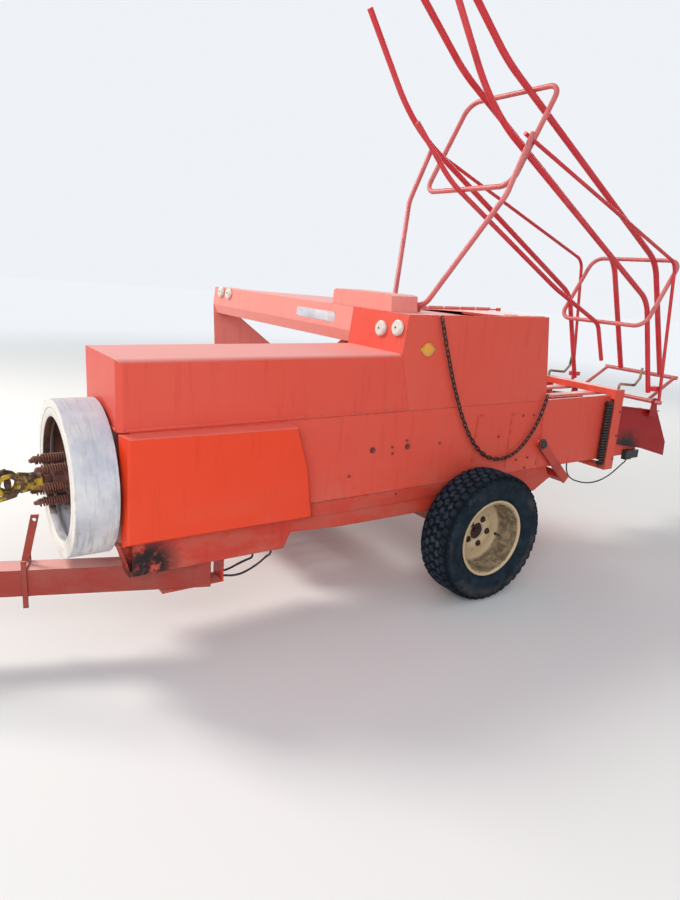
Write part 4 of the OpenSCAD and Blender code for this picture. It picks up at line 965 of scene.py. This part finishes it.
class BALER_OT_rims(bpy.types.Operator):
    """Deep dished rims with their hubs, wheel nuts and valves, and the axle that carries them"""

    bl_idname = "baler.rims"
    bl_label = "Rims and axle"

    def execute(self, context):
        for box, body, node, side in [
            (TYRE, "left_wheel", "left_rim", -1),
            (FAR_TYRE, "right_wheel", "right_rim", 1),
        ]:
            self.rim(box, body, node, Vector((0, side, 0)))
            self.hub(box, body, Vector((0, side, 0)))
        self.axle()
        return {"FINISHED"}

    def around(self, box, angle, radius):
        """A place in a wheel's middle plane, by its angle from the top and its distance from the axle."""
        return box.mid + Vector((radius * math.sin(angle), 0, radius * math.cos(angle)))

    def rim(self, box, body, node, out):
        """Pressed steel turned as one shell, drilled round its disc; the disc lies inboard of the middle."""
        flange = [(0.2050, 0.0796), (0.2058, 0.0832), (0.2038, 0.0864), (0.1990, 0.0868), (0.1950, 0.0850),
                  (0.1915, 0.0800), (0.1860, 0.0765)]
        face = [(0.1800, 0.0690), (0.1785, 0.0300), (0.1740, 0.0220), (0.1725, -0.0200), (0.1690, -0.0300),
                (0.1600, -0.0345), (0.1400, -0.0360), (0.1180, -0.0350), (0.0980, -0.0300), (0.0900, -0.0270),
                (0.0520, -0.0270), (0.0475, -0.0290), (0.0460, -0.0330)]
        back = [(0.0470, -0.0350), (0.0520, -0.0335), (0.0890, -0.0335), (0.0980, -0.0365), (0.1180, -0.0415),
                (0.1400, -0.0425), (0.1620, -0.0410), (0.1740, -0.0350), (0.1760, -0.0690)]
        inner = [(r, -h) for r, h in reversed(flange)]
        seat = [(0.1840, -0.0788), (0.1840, 0.0788)]
        rim = turned("rim", flange + face + back + inner + seat + flange[:1], box.mid, out, 72)
        drills = []
        for i in range(DISC_HOLES):
            place = self.around(box, (i + 0.25) * math.tau / DISC_HOLES, HOLE_CIRCLE)
            drills.append(rod("drill", place - out * 0.060, place + out * 0.010, HOLE_RADIUS, 12, 0.0003))
        cutter = join("drills", drills)
        apply_modifier(rim, "BOOLEAN", operation="DIFFERENCE", solver="EXACT", object=cutter)
        bpy.data.objects.remove(cutter)
        dress(join(node + "_shell", [rim]), body, "rim_tan", replaces=[node])

    def hub(self, box, body, out):
        """Cap with the axle nut, the ring of wheel nuts and the valve."""
        hub = turned("hub", [
            (0, -0.046), (0.020, -0.046), (0.022, -0.040), (0.030, -0.036), (0.041, -0.036), (0.0452, -0.040),
            (0.0452, -0.092), (0.036, -0.096), (0, -0.096),
        ], box.mid, out, 40)
        nut = hex_bolt("axle_nut", 0.026, False)
        nut.matrix_world = facing(box.mid - out * 0.047, out)
        dress(join(body + "_hub", [hub, settle(nut)]), body, "dark_steel", rusty_hub())
        nuts = []
        for i in range(WHEEL_NUTS):
            a = (i + 0.35) * math.tau / WHEEL_NUTS
            nuts.append(facing(self.around(box, a, NUT_CIRCLE) - out * 0.0272, out, a))
        dress(spread(body + "_nuts", hex_bolt("nut", 0.025), nuts), body, "dark_steel", rusty_hub())
        foot = box.mid + Vector((0.146, 0, -0.040)) - out * 0.036
        stem = rod("stem", foot, foot + out * 0.034 + Vector((0.004, 0, 0)), 0.004, 12, 0.001)
        base = rod("base", foot - out * 0.002, foot + out * 0.010, 0.008, 16, 0.002)
        dress(join(body + "_valve", [stem, base]), body, "black_rubber")

    def axle(self):
        """Square beam with round ends, stub spindles and two posts under the feed floor."""
        box = Box("axle")
        beam_low, beam_high = at(0, 0.005, 0).y, FAR_TYRE.mid.y - 0.125
        middle, lift, half = TYRE.mid.x, TYRE.mid.z, 0.050
        parts = [slab("beam", (middle - half, beam_low, lift - half),
                      (middle + half, beam_high, lift + half), 0.006)]
        for end, wheel, side in ((beam_low, TYRE, 1), (beam_high, FAR_TYRE, -1)):
            tip = wheel.mid.y + side * 0.047
            parts.append(rod("spindle", (middle, end + side * 0.004, lift), (middle, tip, lift), 0.022, 28))
            collar = end - side * 0.012
            parts.append(rod("collar", (middle, end, lift), (middle, collar, lift), 0.038, 28, 0.002))
        for y in (FAR_TYRE.mid.y - 0.930, FAR_TYRE.mid.y - 0.230):
            parts.append(slab("post", (middle - 0.030, y, lift + half),
                              (middle + 0.030, y + 0.060, box.high.z), 0.002))
        dress(join("axle_beam", parts), "machine", "rusty_red", node_finish("axle", "rusty_red"), ["axle"])


class BALER_OT_flywheel(bpy.types.Operator):
    """Inner ring on the open front of the flywheel's rim"""

    bl_idname = "baler.flywheel"
    bl_label = "Flywheel ring"

    def execute(self, context):
        outer = FLYWHEEL.size.z / 2 - 0.034
        front = Vector((FLYWHEEL.low.x, FLYWHEEL.mid.y, FLYWHEEL.mid.z))
        ring = turned("ring", [
            (outer + 0.0006, 0.0), (0.253, 0.0), (0.251, -0.0015), (0.250, -0.004), (0.250, -0.030),
            (0.255, -0.036), (outer + 0.0006, -0.052), (outer + 0.0006, 0.0),
        ], front + Vector((0.0008, 0, 0)), (-1, 0, 0), 96)
        dress(ring, "flywheel", "off_white", node_finish("flywheel_ring", "off_white"))
        ring.name = "flywheel_ring"
        return {"FINISHED"}


class BALER_OT_bolts(bpy.types.Operator):
    """Hexagon bolts along the seams, ribs, brackets and posts"""

    bl_idname = "baler.bolts"
    bl_label = "Bolts"

    def execute(self, context):
        width = context.scene.baler_sizes.bolt_width
        near, far = (0, -1, 0), (0, 1, 0)
        small, large = [], []
        for x, z in [(-0.525, 0.826), (-0.521, 0.793), (-0.436, 0.851), (-0.219, 0.819), (0.207, 0.818),
                     (0.462, 0.674), (0.370, 0.670), (0.448, 0.615), (-0.771, 0.706), (-0.479, 0.581)]:
            small.append(facing(at(x, 0, z), near))
            small.append(facing(at(x, 0.5, z), far))
        for x, z in [(0.384, 0.923), (0.469, 0.921)]:
            small.append(facing(at(x, 0, z), near))
        for x, z in [(-0.642, 0.821), (-0.429, 0.820)]:
            large.append(facing(at(x, 0, z), near))
            large.append(facing(at(x, 0.5, z), far))
        for z in (0.60, 0.75, 0.90):
            small.append(facing(at(1.205, -0.0417, z), near))
        for y, out in ((-0.0303, near), (0.5303, far)):
            pivot = at(0.540, y, 0.753)
            cap = turned("cap", [
                (0, 0.0), (0.030, 0.0), (0.031, 0.002), (0.031, 0.007), (0.026, 0.010), (0.022, 0.010),
                (0.022, 0.018), (0.018, 0.022), (0, 0.022),
            ], pivot, out, 32)
            dress(cap, "needle_yoke", "dark_steel")
            cap.name = "needle_pivot_near" if out == near else "needle_pivot_far"
        heads = [spread("small", hex_bolt("bolt", width * 0.72, False), small),
                 spread("large", hex_bolt("bolt", width * 1.15), large)]
        red = tube_paint("bolt_red", Vector((0.17, 0.030, 0.022)), 1.9, 0.3)
        dress(join("panel_bolts", heads), "machine", "rust", red)
        return {"FINISHED"}


def coil(name, mean, wire, pitch, turns, sides=8):
    """A wound spring that stands on Z, its wire closed at both ends."""
    clear()
    bpy.ops.mesh.primitive_circle_add(vertices=sides, radius=wire, location=(mean, 0, wire),
                                      rotation=(math.radians(90), 0, 0))
    piece = settle(bpy.context.object)
    piece.name = name
    apply_modifier(piece, "SCREW", axis="Z", angle=math.tau, screw_offset=pitch, iterations=turns,
                   steps=20, render_steps=20, use_merge_vertices=False)
    bpy.ops.object.mode_set(mode="EDIT")
    bpy.ops.mesh.select_mode(type="EDGE")
    bpy.ops.mesh.select_all(action="DESELECT")
    bpy.ops.mesh.select_non_manifold()
    bpy.ops.mesh.fill_holes(sides=0)
    bpy.ops.mesh.select_all(action="SELECT")
    bpy.ops.mesh.fill_holes(sides=sides)
    bpy.ops.mesh.normals_make_consistent(inside=False)
    bpy.ops.object.mode_set(mode="OBJECT")
    pick(piece)
    bpy.ops.object.shade_smooth_by_angle(angle=math.radians(60))
    return piece


class BALER_OT_springs(bpy.types.Operator):
    """Wound bale tension springs with their rods, cups and nuts"""

    bl_idname = "baler.springs"
    bl_label = "Tension springs"

    def execute(self, context):
        box = Box("tension_springs")
        radius = box.size.x / 2
        wire = 0.0058
        turns = 22
        length = box.size.z
        pieces = []
        for y in (box.low.y + radius, box.high.y - radius):
            foot = Vector((box.mid.x, y, box.low.z))
            pitch = (length - 2 * wire) / turns
            spring = coil("spring", radius - wire - 0.0003, wire, pitch, turns)
            spring.matrix_world = Matrix.Translation(foot)
            pieces.append(settle(spring))
            top = foot + Vector((0, 0, length))
            pieces.append(rod("spring_rod", foot - Vector((0, 0, 0.012)), top, 0.008, 16))
            for z, out in ((foot.z - 0.004, 1), (top.z - 0.004, 1)):
                cup = Vector((foot.x, foot.y, z))
                pieces.append(rod("cup", cup, cup + Vector((0, 0, 0.006)), radius * 0.92, 24, 0.001))
            nut = hex_bolt("nut", 0.026, False)
            nut.matrix_world = Matrix.Translation(foot - Vector((0, 0, 0.018)))
            pieces.append(settle(nut))
        dress(join("tension_spring_coils", pieces), "machine", "dark_steel", replaces=["tension_springs"])
        return {"FINISHED"}


class BALER_OT_clutch(bpy.types.Operator):
    """Slip clutch: plates, hub, bolts and wound springs"""

    bl_idname = "baler.clutch"
    bl_label = "Slip clutch"

    def execute(self, context):
        box = Box("slip_clutch")
        centre = Vector((box.low.x, box.mid.y, box.mid.z))
        radius = box.size.y / 2
        back = box.high.x
        face = back - 0.040
        ahead = (-1, 0, 0)
        plate = turned("plate", [
            (0.030, 0.0), (radius - 0.003, 0.0), (radius, 0.003), (radius, 0.009), (radius - 0.010, 0.012),
            (radius - 0.010, 0.016), (radius, 0.019), (radius, 0.026), (radius - 0.004, 0.029),
            (radius - 0.006, 0.034), (radius - 0.022, 0.037), (0.060, 0.037), (0.055, 0.056),
            (0.042, 0.060), (0.040, 0.100), (0.036, 0.104), (0.024, 0.104), (0.024, 0.0), (0.030, 0.0),
        ], Vector((back, centre.y, centre.z)), ahead)
        pieces = [plate]
        for i in range(CLUTCH_SPRINGS):
            a = i * math.tau / CLUTCH_SPRINGS
            seat = Vector((face - 0.001, centre.y - SPRING_CIRCLE * math.sin(a),
                           centre.z + SPRING_CIRCLE * math.cos(a)))
            spring = coil("clutch_spring", 0.0135, 0.0036, 0.0098, 10)
            spring.matrix_world = facing(seat, ahead, i * 0.7)
            pieces.append(settle(spring))
            cap = seat + Vector((-0.106, 0, 0))
            pieces.append(rod("stud", seat, cap - Vector((0.028, 0, 0)), 0.0065, 12))
            pieces.append(rod("cap", cap, cap + Vector((-0.004, 0, 0)), 0.0175, 20, 0.001))
            for step in (0.004, 0.013):
                nut = hex_bolt("nut", 0.021, False)
                nut.matrix_world = facing(cap - Vector((step, 0, 0)), ahead, i * 0.4 + step * 30)
                pieces.append(settle(nut))
        spline = Vector((back - 0.104, centre.y, centre.z))
        pieces.append(rod("splined_end", spline, spline - Vector((0.050, 0, 0)), 0.0215, 20))
        rust = rusty_iron("clutch_rust", 2.0, (0.17, 0.055, 0.042))
        dress(join("clutch_assembly", pieces), "flywheel", "rust", rust, ["slip_clutch"])
        self.yoke(Box("input_yoke"))
        return {"FINISHED"}

    def yoke(self, box):
        """Forged fork with two ring eyes, bearing cups and the cross, and its collar on the input shaft."""
        joint = Vector((box.low.x + 0.013, box.mid.y, box.mid.z))
        ahead = (-1, 0, 0)
        parts = []
        for side in (1, -1):
            out = Vector((0, side, 0))
            parts.append(turned("eye", [
                (0.031, -0.007), (0.044, -0.007), (0.047, -0.004), (0.047, 0.004), (0.044, 0.007),
                (0.031, 0.007), (0.029, 0.004), (0.029, -0.004), (0.031, -0.007),
            ], joint + out * 0.029, out, 40))
            clear()
            bpy.ops.mesh.primitive_cube_add(size=1, location=joint + Vector((0.066, side * 0.029, 0)),
                                            scale=(0.056, 0.012, 0.070))
            arm = settle(bpy.context.object)
            choose(arm, lambda face: face.normal.x > 0.5)
            bpy.ops.transform.resize(value=(1, 1, 0.78))
            bpy.ops.transform.translate(value=(0, -side * 0.004, 0))
            bpy.ops.object.mode_set(mode="OBJECT")
            parts.append(soften(arm, 0.005, 3))
        parts.append(turned("collar", [
            (0, 0.006), (0.030, 0.006), (0.036, 0.0), (0.036, -0.012), (0.033, -0.016), (0.033, -0.026),
            (0.036, -0.030), (0.036, -0.037), (0.032, -0.040), (0, -0.040),
        ], joint + Vector((0.084, 0, 0)), ahead, 40))
        dress(join("fork", parts), "flywheel", "yellow", replaces=["input_yoke"])
        cross = [rod("pin", joint - Vector((0, 0.034, 0)), joint + Vector((0, 0.034, 0)), 0.0090, 20),
                 rod("pin", joint - Vector((0, 0, 0.026)), joint + Vector((0, 0, 0.026)), 0.0105, 20),
                 rod("hub", joint - Vector((0.012, 0, 0)), joint + Vector((0.012, 0, 0)), 0.015, 20, 0.003)]
        dress(join("joint_cross", cross), "flywheel", "rust")


class BALER_OT_lid(bpy.types.Operator):
    """Knotter lid of thin sheet, sprung up at its front corner, with folded edges and a grip"""

    bl_idname = "baler.lid"
    bl_label = "Housing lid"

    def execute(self, context):
        box = Box("housing_lid")
        skin = box.low.z
        low = Vector((box.low.x, box.low.y, 0))
        high = Vector((box.high.x, box.high.y - 0.012, 0))
        size = high - low
        clear()
        bpy.ops.mesh.primitive_grid_add(
            x_subdivisions=36, y_subdivisions=20, size=1, location=(low + high) / 2)
        sheet = bpy.context.object
        sheet.scale = (size.x, size.y, 1)
        settle(sheet)
        flat = at(0, 0, 1.4640).z
        for v in sheet.data.vertices:
            u = (v.co.x - low.x) / size.x
            w = (high.y - v.co.y) / size.y
            rise = 0.017 * w * max(0.0, 1 - u * 1.9) ** 1.4
            dent = 0.0015 * math.sin(u * 9.0 + w * 3.0) * math.sin(w * math.pi)
            v.co.z = flat + rise + dent
        bpy.ops.object.mode_set(mode="EDIT")
        bpy.ops.mesh.select_all(action="SELECT")
        bpy.ops.mesh.region_to_loop()
        bpy.ops.mesh.extrude_region_move(TRANSFORM_OT_translate={"value": (0, 0, -0.0016)})
        bpy.ops.object.mode_set(mode="OBJECT")
        lip = max(0.010, flat - skin - 0.001)
        for v in sheet.data.vertices:
            if v.select and v.co.y < low.y + 0.002:
                v.co.z -= lip
        apply_modifier(sheet, "SOLIDIFY", thickness=0.0015, offset=0)
        soften(sheet, 0.0006, 1, 60)
        hinge = Vector((0, at(0, 0.431, 0).y, at(0, 0, 1.472).z))
        parts = [sheet]
        for i in range(5):
            x0 = box.low.x + size.x * (0.01 + 0.20 * i)
            start = Vector((x0, hinge.y, hinge.z))
            parts.append(rod("knuckle", start, start + Vector((size.x * 0.17, 0, 0)), 0.0088, 16))
        grip = Vector((low.x + size.x * 0.55, low.y + 0.030, flat + 0.001))
        parts.append(slab("grip", grip, grip + Vector((0.090, 0.012, 0.003)), 0.001))
        dress(join("lid_sheet", parts), "housing_lid", "faded_red",
              node_finish("housing_lid", "faded_red"), ["housing_lid"])
        return {"FINISHED"}


class BALER_OT_reflectors(bpy.types.Operator):
    """Round reflectors with a rim, a domed lens and a screw, and the amber side reflector"""

    bl_idname = "baler.reflectors"
    bl_label = "Reflectors"

    def execute(self, context):
        ahead = Vector((-math.cos(FACE_LEAN), 0, math.sin(FACE_LEAN)))
        lenses, screws = [], []
        for y, z in ((2.112, 1.434), (1.983, 1.430), (0.190, 1.379), (0.061, 1.394)):
            foot = at(-0.486 - (1.462 - z) * FACE_RUN / FACE_RISE, y, z) + ahead * 0.0005
            lenses.append(turned("lens", [
                (0, 0), (0.036, 0), (0.038, 0.002), (0.038, 0.013), (0.035, 0.016), (0.033, 0.0165),
                (0.031, 0.0195), (0.016, 0.0215), (0, 0.0218),
            ], foot, ahead, 40))
            screws.append(turned("screw", [
                (0, 0.0), (0.0055, 0.0), (0.0055, 0.0225), (0.004, 0.0238), (0, 0.0242),
            ], foot, ahead, 16))
        dress(join("reflector_lenses", lenses), "machine", "reflector", replaces=["reflectors"])
        dress(join("reflector_screws", screws), "machine", "dark_steel")
        side = at(-0.357, 0, 1.298)
        out = (0, -1, 0)
        ring = turned("ring", [
            (0.020, 0.0), (0.033, 0.0), (0.034, 0.003), (0.033, 0.008), (0.029, 0.009), (0.027, 0.0065),
            (0.020, 0.0065), (0.020, 0.0),
        ], side + Vector((0, -0.0005, 0)), out, 40)
        glow = turned("amber_lens", [
            (0, 0.0), (0.0265, 0.0), (0.0265, 0.0068), (0.020, 0.0090), (0.010, 0.0100), (0, 0.0102),
        ], side + Vector((0, -0.0005, 0)), out, 40)
        ears = [rod("ear", side + Vector((x, -0.0005, 0)), side + Vector((x, -0.0035, 0)), 0.009, 16, 0.001)
                for x in (-0.036, 0.036)]
        ring = join("amber_ring", ears + [ring])
        dress(ring, "machine", "reflector", tube_paint("ring_yellow", Vector((0.62, 0.40, 0.05)), 2.6, 0.2))
        dress(glow, "machine", "reflector", slot_finish("amber"))
        return {"FINISHED"}


class BALER_OT_chain(bpy.types.Operator):
    """Safety chain of round-wire links, each a quarter turn from the next one"""

    bl_idname = "baler.chain"
    bl_label = "Safety chain"

    def execute(self, context):
        # Radius of the wire, width inside a link, play between links and reach round the end hooks
        wire, opening, gap, hook = 0.0035, 0.010, 0.0005, 0.0043
        route = [at(x, -0.018, z) for x, z in CHAIN_ROUTE]
        steps = [(b - a).length for a, b in zip(route, route[1:])]

        def along(run):
            for start, end, length in zip(route, route[1:], steps):
                if run <= length or end is route[-1]:
                    return start + (end - start) * run / length
                run -= length

        pitch = (sum(steps) + 2 * hook - gap) / CHAIN_LINKS

        def eased(run):
            return (along(run - pitch) + along(run) + along(run + pitch)) / 3

        reach = (pitch + gap) / 2 - opening / 2
        clear()
        bpy.ops.mesh.primitive_torus_add(major_segments=20, minor_segments=8, major_radius=opening / 2 + wire,
                                         minor_radius=wire)
        link = settle(bpy.context.object)
        choose(link, lambda face: face.center.x > 0)
        bpy.ops.transform.translate(value=(reach, 0, 0))
        choose(link, lambda face: face.center.x < 0)
        bpy.ops.transform.translate(value=(-reach, 0, 0))
        bpy.ops.object.mode_set(mode="OBJECT")
        pick(link)
        bpy.ops.object.shade_smooth()
        places = []
        for i in range(CHAIN_LINKS):
            run = gap / 2 - hook + i * pitch
            start, end = eased(run), eased(run + pitch)
            forward = (end - start).normalized()
            side = Vector((0, 1, 0)).cross(forward) if i % 2 == 0 else Vector((0, 1, 0))
            turn = Matrix((forward, side, forward.cross(side))).transposed().to_4x4()
            places.append(Matrix.Translation((start + end) / 2) @ turn)
        dress(spread("chain", link, places), "machine", "dark_steel", rusty_hub(), ["safety_chain"])
        return {"FINISHED"}


class BALER_OT_plates(bpy.types.Operator):
    """Blank plate on the hood, drip lips of the boxes and the seam strips"""

    bl_idname = "baler.plates"
    bl_label = "Plates and lips"

    def execute(self, context):
        plate = slab("blank_plate", at(-0.001, 0.625, -0.027), at(0.001, 1.035, 0.027), 0.0006)
        plate.matrix_world = (Matrix.Translation(at(-0.4945, 0, 1.393))
                              @ Matrix.Rotation(FACE_LEAN, 4, "Y") @ Matrix.Translation(-at(0, 0, 0)))
        settle(plate)
        dress(plate, "machine", "off_white")
        finish = node_finish("front_box", "faded_red")
        lips = [
            slab("lip", at(-1.820, -0.0035, 1.001), at(-0.452, -0.0003, 1.013), 0.001),
            slab("lip", at(-1.820, 0.4613, 1.001), at(-0.452, 0.4645, 1.013), 0.001),
            slab("lip", at(-1.8505, 0.026, 1.001), at(-1.8473, 0.435, 1.013), 0.001),
        ]
        dress(join("box_lip", lips), "machine", "faded_red", finish)
        strips = [
            slab("sill", at(-0.97, -0.0040, 0.530), at(0.188, -0.0003, 0.596), 0.001),
            slab("sill", at(-0.97, 0.5003, 0.530), at(0.188, 0.5040, 0.596), 0.001),
        ]
        dress(join("sill_strip", strips), "machine", "faded_red", node_finish("frame_rails", "faded_red"))
        return {"FINISHED"}


class BALER_PT_panel(bpy.types.Panel):
    """The baler's sizes, colours and pieces"""

    bl_idname = "BALER_PT_panel"
    bl_label = "Baler"
    bl_space_type = "VIEW_3D"
    bl_region_type = "UI"
    bl_category = "Baler"

    def draw(self, context):
        for group in (context.scene.baler_sizes, context.scene.baler_colours):
            for name in group.bl_rna.properties.keys():
                if name not in ("rna_type", "name"):
                    self.layout.prop(group, name)
        for operator in OPERATORS:
            self.layout.operator(operator.bl_idname)


OPERATORS = [
    BALER_OT_stage, BALER_OT_leads, BALER_OT_finishes, BALER_OT_tyres, BALER_OT_rims, BALER_OT_flywheel,
    BALER_OT_bolts, BALER_OT_springs, BALER_OT_clutch, BALER_OT_lid, BALER_OT_reflectors, BALER_OT_chain,
    BALER_OT_plates,
]
GROUPS = [BalerSizes, BalerColours]


def register():
    for item in GROUPS + OPERATORS + [BALER_PT_panel]:
        bpy.utils.register_class(item)
    bpy.types.Scene.baler_sizes = bpy.props.PointerProperty(type=BalerSizes)
    bpy.types.Scene.baler_colours = bpy.props.PointerProperty(type=BalerColours)


def unregister():
    del bpy.types.Scene.baler_colours
    del bpy.types.Scene.baler_sizes
    for item in reversed(GROUPS + OPERATORS + [BALER_PT_panel]):
        bpy.utils.unregister_class(item)


def main():
    register()
    for operator in OPERATORS:
        group, name = operator.bl_idname.split(".")
        getattr(getattr(bpy.ops, group), name)()


if __name__ == "__main__":
    main()
